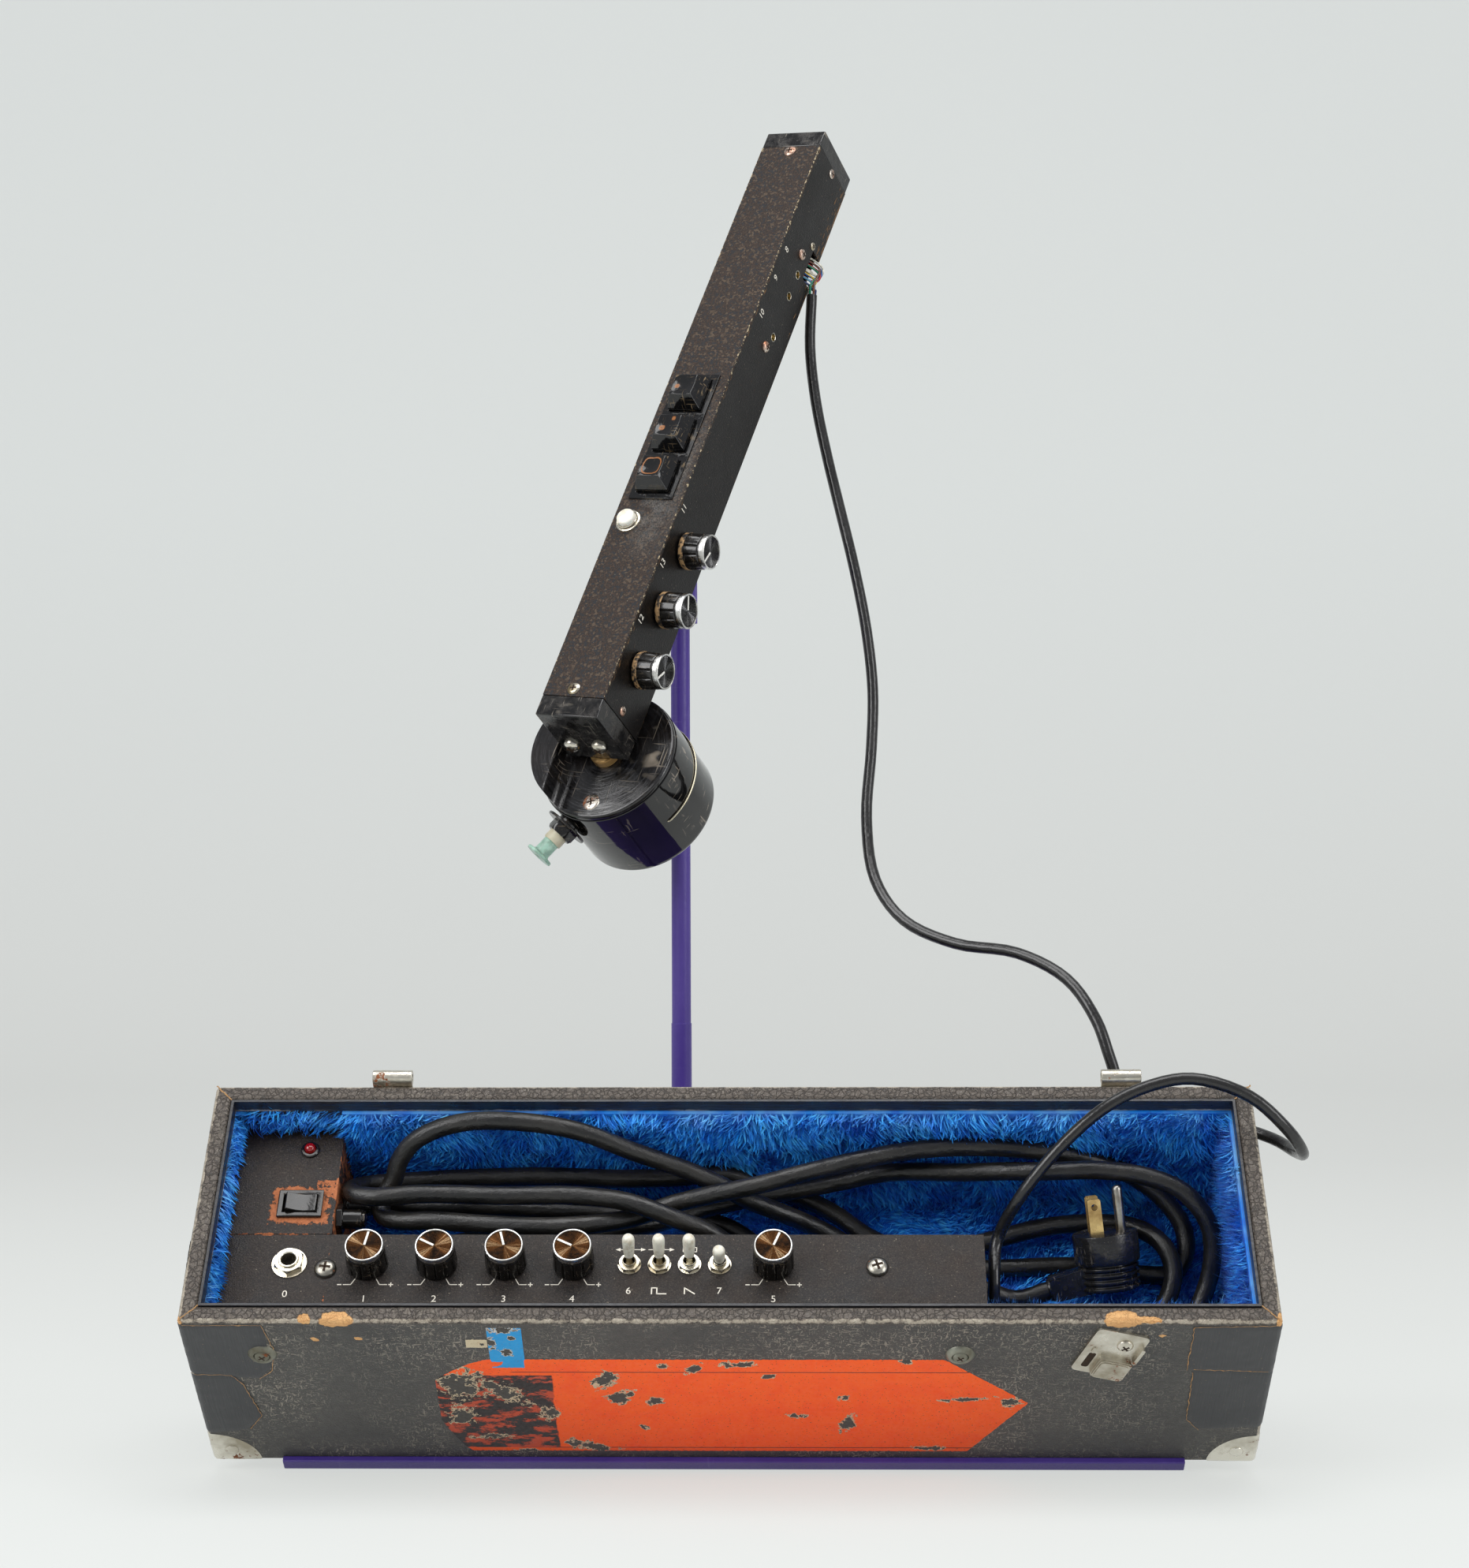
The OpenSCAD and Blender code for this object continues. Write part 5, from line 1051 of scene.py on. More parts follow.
# ---- Control panel and power box ----
# Folded steel sheet in dark brown wrinkle enamel, gritty and rubbed, chipped to rust round the rocker and
# along its edges. Its marks are screen-printed in white; where the real one has words there are plain
# numbers.
enamel = Finish("wrinkle_enamel", shade(36, 32, 29), 0.5, Specular_IOR_Level=0.35)
t = enamel.tree
spot = enamel.within(case_mm)
marks = enamel.marks(1.0, 0.7, spot)
grit = cloud(spot, 1500.0, 3.0, 0.7)
wrinkle = add(t, "ShaderNodeTexVoronoi", Vector=spot, Scale=1300.0).outputs["Distance"]
dirt = cloud(spot, 48.0, 5.0, 0.68)
coat = blend_of(between(dirt, 0.35, 0.68), shade(28, 25, 24), shade(46, 37, 31))
coat = blend_of(between(grit, 0.54, 0.66), coat, shade(68, 60, 53))
coat = blend_of(between(grit, 0.44, 0.36), coat, shade(13, 11, 10))
coat = blend_of(marks[1], coat, shade(150, 138, 120))
xyz = axes(spot)
chip_noise = plus(cloud(spot, 330.0, 5.0, 0.75), times(cloud(spot, 70.0, 2.0), 0.5))
near = 0.0
for cx, cy, hx, hy in ((-0.2014, 0.0787, 0.0128, 0.0098), (-0.1890, 0.0880, 0.0060, 0.0050)):
    off = most(calc("DIVIDE", apart(xyz[0], cx), hx), calc("DIVIDE", apart(xyz[1], cy), hy))
    near = most(near, between(off, 1.35, 0.9))
seam = between(apart(xyz[1], 0.0622), 0.0013, 0.0003)
left_of = between(xyz[0], -0.1835, -0.1850)
edge = most(between(apart(xyz[0], -0.1850), 0.0012, 0.0), times(seam, left_of))
worn = between(plus(chip_noise, plus(times(near, 0.42), times(edge, 0.30))), 1.06, 1.09)
rust = blend_of(cloud(spot, 900.0, 3.0), shade(120, 62, 34), shade(196, 122, 78))
enamel.set(Base_Color=blend_of(worn, coat, rust),
           Roughness=plus(between(dirt, 0.3, 0.7, 0.42, 0.6), times(worn, 0.25)))
enamel.relief(plus(times(wrinkle, 0.8), times(grit, 0.5), times(worn, -0.6)), 0.00022)
dressed("panel_sheet", "control_panel", [enamel], 0.7, "panel_paint")
dressed("supply_cover", "power_box", [enamel], 0.9, "panel_paint")

panel_top, knob_row = 95.0, 45.7
knob_x = [-166.7, -134.6, -102.8, -71.6, 20.0]
toggle_x = [-46.1 + 13.8 * i for i in range(4)]
on_panel = case_mm @ move(0, 0, panel_top)
ink = Finish("panel_ink", shade(226, 220, 206), 0.6)
rubbed = between(cloud(ink.place, 700.0, 4.0, 0.7), 0.62, 0.70)
ink.set(Base_Color=blend_of(rubbed, shade(226, 220, 206), shade(120, 108, 96)))


def stroke(form, points, wide=0.42, thick=0.05):
    """A printed line through (x, y) points, with square ends."""
    for (x0, y0), (x1, y1) in zip(points, points[1:]):
        along = Vector((x1 - x0, y1 - y0)).normalized() * wide / 2
        side = Vector((-along.y, along.x))
        a, b = Vector((x0, y0)) - along * 0.7, Vector((x1, y1)) + along * 0.7
        prism(form, [tuple(a - side), tuple(b - side), tuple(b + side), tuple(a + side)], 0.0, thick)


def arrow(form, x, y, way):
    prism(form, [(x, y - 0.95), (x + way * 2.3, y), (x, y + 0.95)][::way], 0.0, 0.05)


form = bmesh.new()
for x in knob_x:
    row = knob_row - 11.3
    stroke(form, [(x - 12.6, row), (x - 11.0, row)], 0.55)
    stroke(form, [(x - 10.0, row), (x - 6.6, row), (x - 4.9, row + 3.0)])
    stroke(form, [(x + 4.9, row + 3.0), (x + 6.6, row), (x + 10.0, row)])
    stroke(form, [(x + 10.9, row), (x + 12.7, row)], 0.5)
    stroke(form, [(x + 11.8, row - 0.95), (x + 11.8, row + 0.95)], 0.5)
row = knob_row + 7.9
stroke(form, [(toggle_x[0] - 4.4, row), (toggle_x[0] + 5.0, row)], 0.35)
stroke(form, [(toggle_x[1] - 5.2, row), (toggle_x[1] + 4.4, row)], 0.35)
arrow(form, toggle_x[0] - 4.4, row, -1)
arrow(form, toggle_x[0] + 5.0, row, 1)
arrow(form, toggle_x[1] + 4.4, row, 1)
for s in (-1, 1):
    stroke(form, [(toggle_x[2] + s * 2.3, row - 1.2), (toggle_x[2] + s * 3.1, row - 1.2),
                  (toggle_x[2] + s * 3.1, row + 1.2), (toggle_x[2] + s * 2.3, row + 1.2)], 0.4)
row = knob_row - 16.2
stroke(form, [(toggle_x[1] - 3.2, row), (toggle_x[1] - 3.2, row + 3.2), (toggle_x[1] - 0.8, row + 3.2),
              (toggle_x[1] - 0.8, row), (toggle_x[1] + 3.4, row)], 0.6)
stroke(form, [(toggle_x[2] - 2.0, row), (toggle_x[2] - 2.0, row + 3.2), (toggle_x[2] + 2.6, row)], 0.6)
make("printed_marks", form, on_panel, [ink], crease=30)


def printed_number(label, size, place, thick=0.03):
    """A plain number printed on a surface: its middle bottom at the place, its top towards the place's Y."""
    digit = bpy.data.curves.new("number", "FONT")
    digit.body, digit.size, digit.align_x, digit.extrude = label, size, "CENTER", thick
    holder = bpy.data.objects.new("digit", digit)
    scene.collection.objects.link(holder)
    bpy.context.view_layer.update()
    mesh = bpy.data.meshes.new_from_object(holder.evaluated_get(bpy.context.evaluated_depsgraph_get()))
    bpy.data.objects.remove(holder)
    mesh.transform(place @ move(0, 0, thick))
    mesh.materials.clear()
    mesh.materials.append(ink.material)
    number = bpy.data.objects.new("printed_number_" + label, mesh)
    scene.collection.objects.link(number)
    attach(number, "instrument")


for i, x in enumerate(knob_x):
    printed_number(str(i + 1), 5.0, on_panel @ move(x, knob_row - 20.6, 0))
for label, x in (("6", toggle_x[0]), ("7", toggle_x[3])):
    printed_number(label, 5.0, on_panel @ move(x, knob_row - 16.2, 0))
printed_number("0", 5.0, on_panel @ move(-203.0, knob_row - 18.0, 0))

# ---- Screws on the panel, board and transformer below it ----
# Two large pan heads hold the panel down. The board and the transformer are only glimpsed under it.
dull_zinc = plated("dull_zinc", shade(196, 192, 180), shade(120, 116, 106), 0.25, (0.24, 0.46))
dressed("screw_posts", "panel_screws", [dull_zinc], 0, "screw_steel")
form = bmesh.new()
for x, y in ((-185.8, 42.8), (67.5, 44.0)):
    cross_head(form, 5.0, 2.55, move(x, y, 0) @ Matrix.Rotation(0.35 + x, 4, "Z"))
    turned(form, [(5.0, 0), (5.15, 0.4), (5.0, 0.9)], 32, move(x, y, 0))
make("panel_screw_heads", form, on_panel, [dull_zinc, recess])
laminate = Finish("board_laminate", shade(58, 112, 70), 0.4)
tracks = add(laminate.tree, "ShaderNodeTexBrick", Vector=laminate.place, Scale=160.0).outputs["Fac"]
laminate.set(Base_Color=blend_of(tracks, shade(40, 92, 56), shade(104, 142, 84)))
iron = Finish("varnished_iron", shade(92, 86, 76), 0.45, 0.5)
layers = add(iron.tree, "ShaderNodeTexWave", {"bands_direction": "Y"}, Vector=iron.within(case_mm),
             Scale=700.0).outputs["Fac"]
iron.set(Base_Color=blend_of(layers, shade(64, 58, 50), shade(120, 112, 98)))
for node, name, finish, slot_name in (("main_board", "panel_board", laminate, "circuit_board"),
        ("wand_board", "wand_circuit", laminate, "circuit_board"),
        ("transformer", "mains_transformer", iron, "transformer_iron")):
    dressed(name, node, [finish], 0.2, slot_name)

# ---- Control knobs ----
# Moulded black knobs with a fluted skirt, a turned aluminium rim and a spun metal inset with a white pointer:
# amber-brown on the panel, black on the wand. Each turns with its own shaft.
glossy_black = Finish("glossy_black", shade(16, 15, 15), 0.16, Specular_IOR_Level=0.6)
marks = glossy_black.marks(1.5, 1.0)
dusty = between(cloud(glossy_black.place, 520.0, 4.0, 0.7), 0.6, 0.74)
glossy_black.set(Base_Color=blend_of(most(times(marks[0], 0.7), times(dusty, 0.35)),
    blend_of(marks[2], shade(11, 11, 11), shade(28, 25, 22)), shade(112, 98, 80)),
                 Roughness=plus(between(marks[2], 0.3, 0.7, 0.1, 0.26), times(dusty, 0.25)))
glossy_black.relief(cloud(glossy_black.place, 320.0, 2.0), 0.00012)
aluminium = plated("turned_aluminium", shade(232, 232, 230), shade(176, 174, 168), 0.0, (0.16, 0.34), 1.6)


def spun_inset(name, dark, mid, bright):
    """Spun metal: painted highlights in bright wedges that meet at the middle, standing for the reflections
    of its spinning, painted darker between them, over fine turning marks.
    """
    spun = Finish(name, mid, 0.26, 0.85)
    t = spun.tree
    xy = axes(spun.read("across", "Vector"))
    angle = calc("ARCTAN2", xy[1], xy[0])
    painted_highlight_rays = calc("POWER", calc("ABSOLUTE", calc("COSINE", plus(angle, 0.5))), 5.0)
    cross = calc("POWER", calc("ABSOLUTE", calc("COSINE", plus(angle, 1.55))), 26.0)
    circle = add(t, "ShaderNodeCombineXYZ", _0=calc("COSINE", angle), _1=calc("SINE", angle)).outputs[0]
    fine = cloud(circle, 9.0, 3.0, 0.6)
    # Painted highlights and reflections: bright along the wedges and the cross, darker away from them.
    glow = plus(times(painted_highlight_rays, 0.75), times(cross, 0.6))
    glow = times(glow, between(fine, 0.3, 0.7, 0.35, 1.1))
    blotch = between(cloud(spun.place, 420.0, 4.0, 0.7), 0.45, 0.7)
    colour = blend_of(times(blotch, 0.5), blend_of(between(glow, 0.02, 0.45), dark, mid), mid)
    spun.set(Base_Color=blend_of(between(glow, 0.4, 0.95), colour, bright),
             Roughness=between(blotch, 0.0, 1.0, 0.22, 0.4))
    radius = from_axis(xy)
    spun.relief(calc("SINE", times(radius, 40.0)), 0.00003)
    return spun


# The last shade of each is the colour of its painted highlights.
amber_spun = spun_inset("amber_spun_inset", shade(34, 20, 10), shade(104, 64, 28), shade(238, 206, 160))
black_spun = spun_inset("black_spun_inset", shade(14, 14, 15), shade(48, 48, 50), shade(210, 210, 212))
pointer_white = mottled("pointer_white", (236, 234, 226), 0.5, (238, 236, 228), (150, 140, 124), 1200.0,
                        span=(0.6, 0.7))
tan_wear = mottled("worn_skirt_ring", (150, 116, 78), 0.6, (26, 22, 19), (176, 140, 96), 420.0, 4.0,
                   (0.42, 0.56))

flutes, knob_base, knob_top = 12, 0.5, 15.5


def fluted(angle, z):
    """Narrow notches down the skirt, deepest at its foot and closed at its shoulder."""
    off = (angle * flutes / math.tau + 0.5) % 1 - 0.5
    return 1 - 0.075 * math.exp(-(off / 0.085) ** 2) * (1.0 if z < 11.2 else 0.0)


def control_knob(name, node, place, spun, foot=None):
    form = bmesh.new()
    profile = [(7.4, 4.9), (7.4, 0.9), (7.6, knob_base), (9.3, knob_base), (9.5, 0.8), (9.45, 2.0),
               (9.38, 5.0), (9.2, 9.0), (9.08, 11.1), (9.0, 11.5), (8.75, 11.9), (8.75, 12.6)]
    turned(form, profile, 144, wave=fluted)
    turned(form, [(8.75, 12.55), (8.95, 12.7), (8.98, 14.9), (8.8, 15.3), (8.5, knob_top), (8.2, knob_top),
                  (7.98, 15.25), (7.95, 14.4)], 64, finish=1)
    turned(form, [(8.0, 4.4), (3.1, 4.4), (3.1, -8), (0, -8)][::-1], 32, finish=0)
    if foot:
        turned(form, [(9.42, 1.0), (9.56, 1.3), (9.54, 3.4), (9.40, 3.7)], 96, finish=2)
    slab(form, (-0.5, 0.4, 14.62), (0.5, 7.7, 14.86), finish=3)
    make(name, form, place, [glossy_black, aluminium, foot or glossy_black, pointer_white],
                node, "knob_plastic", crease=28, body=node)
    rings = [(0, 14.66), (0.4, 14.62), (2, 14.56), (4, 14.50), (6, 14.44), (7.97, 14.40)]
    form = bmesh.new()
    turned(form, rings[::-1], 72)
    mesh = bpy.data.meshes.new(name + "_inset")
    bmesh.ops.recalc_face_normals(form, faces=form.faces)
    form.to_mesh(mesh)
    form.free()
    across = mesh.attributes.new("across", "FLOAT_VECTOR", "POINT")
    across.data.foreach_set("vector", [c for v in mesh.vertices for c in (v.co.x, v.co.y, 0.0)])
    mesh.transform(place)
    claim(shown(name + "_inset", mesh, [spun]), node)


knob_turns = {"volume_knob": -10, "breath_knob": 62, "resonance_knob": 15, "detune_knob": 63,
              "tuning_knob": -22}
for x, (node, turn) in zip(knob_x, knob_turns.items()):
    control_knob(node + "_cap", node, on_panel @ move(x, knob_row, 0) @ spin(turn, "Z"), amber_spun)

# ---- Toggle switches, jack, lamp and rocker ----
# Miniature toggles with ivory caps over bright bushings and hexagonal nuts; an open jack under a half-inch
# nut; a red lamp in a dark ring; and a black rocker in its bezel.
bright_nut = plated("bright_nut", shade(232, 227, 212), shade(184, 172, 146), 0.0, (0.18, 0.38), 1.4)
ivory = Finish("ivory_cap", shade(228, 224, 208), 0.34, Subsurface_Weight=0.05, Subsurface_Scale=0.002)
grime = times(between(cloud(ivory.place, 300.0, 4.0, 0.7), 0.5, 0.66), 0.55)
ivory.set(Base_Color=blend_of(grime, shade(230, 227, 212), shade(176, 158, 124)))
dark_bore = mottled("dark_bore", (16, 14, 12), 0.7, (9, 8, 7), (30, 26, 22), 500.0)


def hex_nut(form, flats, bore, tall, place, finish=0):
    """A nut with its corners turned off on top and a threaded-looking bore."""
    ring = []
    for k in range(48):
        a = math.tau * k / 48
        sector = (a % (math.pi / 3)) - math.pi / 6
        r = flats / 2 / math.cos(sector)
        ring.append((r, a))
    rows = []
    for z, limit in ((0, 99), (tall * 0.72, 99), (tall, flats / 2 * 1.02), (tall, flats / 2 * 0.94)):
        rows.append([form.verts.new(place @ Vector((min(r, limit) * math.cos(a), min(r, limit) * math.sin(a),
            z))) for r, a in ring])
    rows.append([form.verts.new(place @ Vector((bore * math.cos(a), bore * math.sin(a), tall))) for _,
                 a in ring])
    rows.append([form.verts.new(place @ Vector((bore * math.cos(a), bore * math.sin(a), 0))) for _,
                 a in ring])
    for low, high in zip(rows, rows[1:]):
        for k in range(48):
            j = (k + 1) % 48
            form.faces.new((low[k], low[j], high[j], high[k])).material_index = finish


form = bmesh.new()
for i, x in enumerate(toggle_x):
    at = move(x, knob_row - 0.3, 0)
    slab(form, (-6.2, -4.6, -11.1), (6.2, 4.6, -1.65), at, 1)
    turned(form, [(5.4, 0), (5.4, 0.35), (3.3, 0.4)], 36, at)
    hex_nut(form, 9.2, 3.2, 2.0, at @ move(0, 0, 0.35) @ Matrix.Rotation(0.25 * i, 4, "Z"))
    turned(form, [(3.2, -1), (3.2, 3.4), (3.0, 3.75), (2.75, 3.75), (2.62, 3.4), (2.62, -1)], 32, at)
make("toggle_bodies", form, on_panel, [bright_nut, dark_bore], "toggle_switches", "switch_metal", 0.15)
for i, (x, lean) in enumerate(zip(toggle_x, (-12, -12, -12, 12)), 1):
    form = bmesh.new()
    at = move(x, knob_row - 0.3, 0.5) @ spin(lean, "X")
    turned(form, [(0, -2.2), (1.4, -1.7), (2.15, -0.5), (2.1, 0.6), (1.5, 1.6), (1.35, 3), (1.35, 5.6)], 24,
           at, 1)
    turned(form, softened([(0, 5.2), (2.25, 5.2), (2.35, 6.2), (2.75, 10.5), (2.9, 14.5), (2.75, 15.9),
        (2.2, 17.0), (1.2, 17.5), (0, 17.6)], 0.5), 28, at)
    make(f"toggle_cap_{i}", form, on_panel, [ivory, bright_nut], f"toggle_lever_{i}", "lever_cap",
         body=f"toggle_lever_{i}")

form = bmesh.new()
at = move(-202.8, 46.0, 0)
slab(form, (-8, -8, -23.6), (8, 8, -1.7), at, 1)
turned(form, [(8.2, 0), (8.2, 0.5), (4.8, 0.55)], 40, at)
hex_nut(form, 12.7, 4.7, 2.6, at @ move(0, 0, 0.5) @ Matrix.Rotation(0.5, 4, "Z"))
turned(form, [(4.7, 0), (4.7, 3.7), (4.45, 4.0), (3.75, 4.0), (3.3, 3.5), (3.25, 0), (3.25, -12)], 36, at)
turned(form, [(3.2, -12), (0, -12)], 24, at, 1)
make("jack_and_nut", form, on_panel, [bright_nut, dark_bore], "signal_jack", "switch_metal", 0.2)

ruby = mottled("ruby_lens", (140, 8, 10), 0.08, (120, 4, 8), (176, 18, 16), 300.0, Transmission_Weight=0.25,
               IOR=1.5, Coat_Weight=0.6)
form = bmesh.new()
at = move(-200.3, 110.2, 0)
turned(form, [(4.5, 0), (4.4, 0.9), (4.0, 1.35), (3.1, 1.4), (2.75, 1.0), (2.7, -3)], 36, at, 1)
turned(form, [(2.68, -3), (2.68, 1.6), (2.5, 2.6), (2.0, 3.3), (1.1, 3.75), (0, 3.85)], 32, at)
make("red_lamp", form, on_panel, [ruby, glossy_black], "indicator_light", "lamp")
dressed("rocker_frame", "rocker_bezel", [glossy_black], 0.5, "black_plastic")
rocker_at = on_panel @ move(-201.4, 78.7, -1.4) @ spin(8, "Y")
form = bmesh.new()
rise = [(-7.2, -3), (-2, -5), (2, -5), (7.2, -3), (7.2, 4.5), (6.6, 4.75), (4.0, 4.1), (1.5, 3.62),
        (-1.5, 3.62), (-4.0, 4.1), (-6.6, 4.75), (-7.2, 4.5)]
prism(form, rise, -4.7, 4.7, spin(90, "X"))
make("rocker_key", form, rocker_at, [glossy_black], "power_rocker", "black_plastic", 0.45, crease=25,
     body="power_rocker")
dressed("gland_body", "cord_gland", [moulded], 0.4, "cord_rubber")
dressed("fuse_cap", "fuse_holder", [glossy_black, bright_nut], 0.3, "black_plastic")

# ---- Wand: skin, end blocks and screws ----
# Two folded sheets: the front one in a gritty brown speckle, chipped to cream and bare metal along its edges
# and rubbed grey beside the keys; the back one black, worn brown near its back edge. Solid black blocks close
# the ends.
speckle = Finish("speckled_brown", shade(42, 34, 27), 0.5, Specular_IOR_Level=0.35)
t = speckle.tree
spot = speckle.within(wand_mm)
xyz = axes(spot)
marks = speckle.marks(1.0, 0.6, spot)
grain_a = cloud(spot, 1150.0, 2.0, 0.6)
grain_b = add(t, "ShaderNodeTexVoronoi", Vector=spot, Scale=900.0).outputs["Color"]
grain_b = add(t, "ShaderNodeSeparateColor", _0=grain_b).outputs[0]
paint = blend_of(between(grain_a, 0.40, 0.66), shade(17, 14, 12), shade(62, 42, 27))
paint = blend_of(between(grain_b, 0.80, 0.92), paint, shade(76, 62, 48))
paint = blend_of(between(grain_b, 0.26, 0.16), paint, shade(24, 26, 30))
beside = times(between(apart(xyz[2], 0.136), 0.056, 0.020), between(apart(xyz[0], 0.024), 0.013, 0.004))
rubbed = times(beside, between(cloud(spot, 120.0, 5.0, 0.7), 0.36, 0.60))
paint = blend_of(times(rubbed, between(grain_a, 0.38, 0.56, 0.1, 0.9)), paint, shade(108, 106, 102))
paint = blend_of(marks[1], paint, shade(176, 166, 148))
rim = most(between(xyz[0], 0.0344, 0.0354), between(xyz[0], 0.0014, 0.0002))
rim = times(rim, between(xyz[1], 0.0030, 0.0002))
rim = most(rim, times(between(xyz[0], 0.004, 0.0), between(xyz[2], 0.345, 0.356)))
bites = plus(cloud(spot, 420.0, 4.0, 0.7), times(rim, 0.30))
bites = plus(bites, between(xyz[2], 0.20, 0.36, 0.0, 0.05))
bare = between(bites, 0.83, 0.86)
speckle.set(Base_Color=blend_of(bare, paint, blend_of(cloud(spot, 700.0), shade(206, 192, 160),
    shade(150, 128, 94))), Roughness=between(rubbed, 0.0, 1.0, 0.52, 0.36))
speckle.relief(minus(plus(grain_a, times(grain_b, 0.6)), times(bare, 0.8)), 0.0002)
dressed("front_channel", "wand_front", [speckle], 0.35, "wand_paint")

black_skin = Finish("black_skin", shade(12, 11, 10), 0.4, Specular_IOR_Level=0.28)
spot = black_skin.within(wand_mm)
xyz = axes(spot)
marks = black_skin.marks(1.0, 0.8, spot)
fine = cloud(spot, 1300.0, 2.0, 0.6)
streak = cloud(vector("MULTIPLY", spot, (1, 1, 0.22)), 700.0, 4.0, 0.7)
band = times(between(xyz[1], 0.026, 0.035), between(xyz[2], 0.235, 0.30))
edge = most(between(xyz[1], 0.0374, 0.0386), times(between(xyz[0], 0.0345, 0.0355),
    between(xyz[1], 0.0030, 0.0017)))
worn = between(plus(streak, plus(times(band, 0.13), times(edge, 0.12))), 0.68, 0.74)
coat = blend_of(between(fine, 0.45, 0.68), shade(9, 8, 7), shade(27, 21, 18))
black_skin.set(Base_Color=blend_of(worn, blend_of(marks[1], coat, shade(150, 140, 124)), shade(116, 84, 50)),
               Roughness=plus(between(marks[2], 0.3, 0.7, 0.28, 0.44), times(worn, 0.2)))
black_skin.relief(fine, 0.00016)
dressed("back_channel", "wand_back", [black_skin], 0.6, "wand_black")

block = Finish("rubbed_block", shade(22, 22, 23), 0.22, Specular_IOR_Level=0.55)
spot = block.within(wand_mm)
marks = block.marks(1.3, 1.0, spot)
haze = between(cloud(spot, 130.0, 5.0, 0.7), 0.42, 0.70)
block.set(Base_Color=blend_of(times(marks[0], 0.8), blend_of(haze, shade(13, 13, 14), shade(50, 47, 44)),
    shade(120, 112, 100)), Roughness=plus(between(haze, 0.0, 1.0, 0.12, 0.38), times(marks[0], 0.2)))
block.relief(cloud(spot, 300.0, 3.0), 0.00015)
dressed("end_blocks", "wand_end_blocks", [block], 0.7, "end_block")

copper_worn = plated("copper_worn_steel", shade(206, 196, 184), shade(172, 108, 72), 0.35, (0.22, 0.42), 1.8)
bright_steel = plated("bright_steel", shade(232, 230, 222), shade(150, 132, 96), 0.0, (0.12, 0.3), 1.2)
side_turn = spin(90, "Z") @ spin(90, "X")


def on_side(y, z, turn=0.0):
    return wand_mm @ move(35.6, y, z) @ side_turn @ spin(turn, "Z")


def at_front(x, z):
    return wand_mm @ move(x, 0, z) @ spin(90, "X")


form = bmesh.new()
for place, r, h, finish in ((at_front(18.2, 354.4), 3.4, 1.1, 0), (at_front(16.5, 4.4), 3.4, 1.1, 2),
        (on_side(18.8, 4.5), 2.6, 0.8, 0), (on_side(20.3, 235.2), 3.1, 1.6, 0),
        (on_side(20.8, 298.9), 3.1, 1.6, 0), (on_side(27.7, 310.5), 2.2, 0.8, 2),
        (on_side(19.8, 355.1), 2.6, 0.8, 0)):
    cross_head(form, r, h, place @ Matrix.Rotation(r + h * 7, 4, "Z"), finish)
for x in (8, 24):
    cross_head(form, 4.2, 3.0, wand_mm @ move(x, 27.5, -11.6) @ Matrix.Rotation(math.pi, 4, "X")
               @ Matrix.Rotation(x, 4, "Z"), 2)
make("wand_screw_heads", form, Matrix.Identity(4), [copper_worn, recess, bright_steel, recess], "wand_screws",
     "screw_steel")

# ---- Wand: keys, button, knobs and trimmers ----
# Three dished black keys in one flanged frame, the lowest worn to an amber ring; a white button in a plated
# bush; three knobs with worn tan feet; and brass trimmers deep in their holes.
key_black = Finish("key_black", shade(14, 14, 15), 0.09, Specular_IOR_Level=0.6)
spot = key_black.within(wand_mm)
xyz = axes(spot)
marks = key_black.marks(1.6, 1.0, spot)
worn = 0.0
for x, z, reach, wide in ((0.0174, 0.1336, 0.0050, 0.00026), (0.0146, 0.1580, 0.0009, 0.0005),
        (0.0196, 0.1640, 0.0006, 0.0005), (0.0138, 0.1850, 0.0005, 0.0006)):
    dx, dz = minus(xyz[0], x), minus(xyz[2], z)
    away = calc("POWER", plus(calc("POWER", calc("ABSOLUTE", dx), 3.0),
        calc("POWER", calc("ABSOLUTE", dz), 3.0)), 1 / 3)
    away = plus(away, times(minus(cloud(spot, 260.0), 0.5), 0.0011))
    worn = most(worn, between(apart(away, reach), wide * 1.8, wide * 0.7))
worn = times(worn, between(xyz[1], -0.0082, -0.0090))
dusty = between(cloud(spot, 800.0, 3.0, 0.75), 0.66, 0.74)
key_black.set(Base_Color=blend_of(worn, blend_of(most(marks[0], times(dusty, 0.5)), shade(11, 11, 12),
    shade(128, 110, 84)), shade(138, 84, 34)), Roughness=plus(between(marks[2], 0.3, 0.7, 0.05, 0.16),
    times(most(worn, dusty), 0.25)))
key_black.relief(cloud(spot, 180.0, 2.0), 0.0002)
for i in (1, 2, 3):
    cap = dressed(f"key_cap_{i}", f"valve_key_{i}", [key_black], 0.7, "key_plastic", 30,
                  body=f"valve_key_{i}")
    cap.modifiers["edges"].segments = 4
dressed("key_flange", "key_frame", [key_black], 0.25, "key_plastic")

button_white = mottled("button_white", (236, 234, 222), 0.3, (240, 238, 228), (214, 206, 184), 240.0, 4.0,
                       (0.45, 0.7), Subsurface_Weight=0.08, Subsurface_Scale=0.003)
form = bmesh.new()
turned(form, softened([(0, -6), (4.9, -6), (4.9, 4.1), (4.3, 4.9), (2.4, 5.35), (0, 5.5)], 0.6), 48)
make("button_cap", form, at_front(9.6, 105.8), [button_white], "push_button", "button_plastic",
     body="push_button")
form = bmesh.new()
turned(form, [(5.1, -10), (6.3, -10), (6.3, -1.6), (5.6, -1.5), (5.6, -0.1), (6.7, 0.0), (6.7, 0.6),
              (6.4, 0.85), (5.85, 0.9), (5.75, 1.2), (5.7, 2.1), (5.45, 2.4), (5.15, 2.35), (5.1, 1.8),
              (5.1, -10)], 48)
make("button_collar", form, at_front(9.6, 105.8), [bright_nut], "button_bush", "switch_metal")

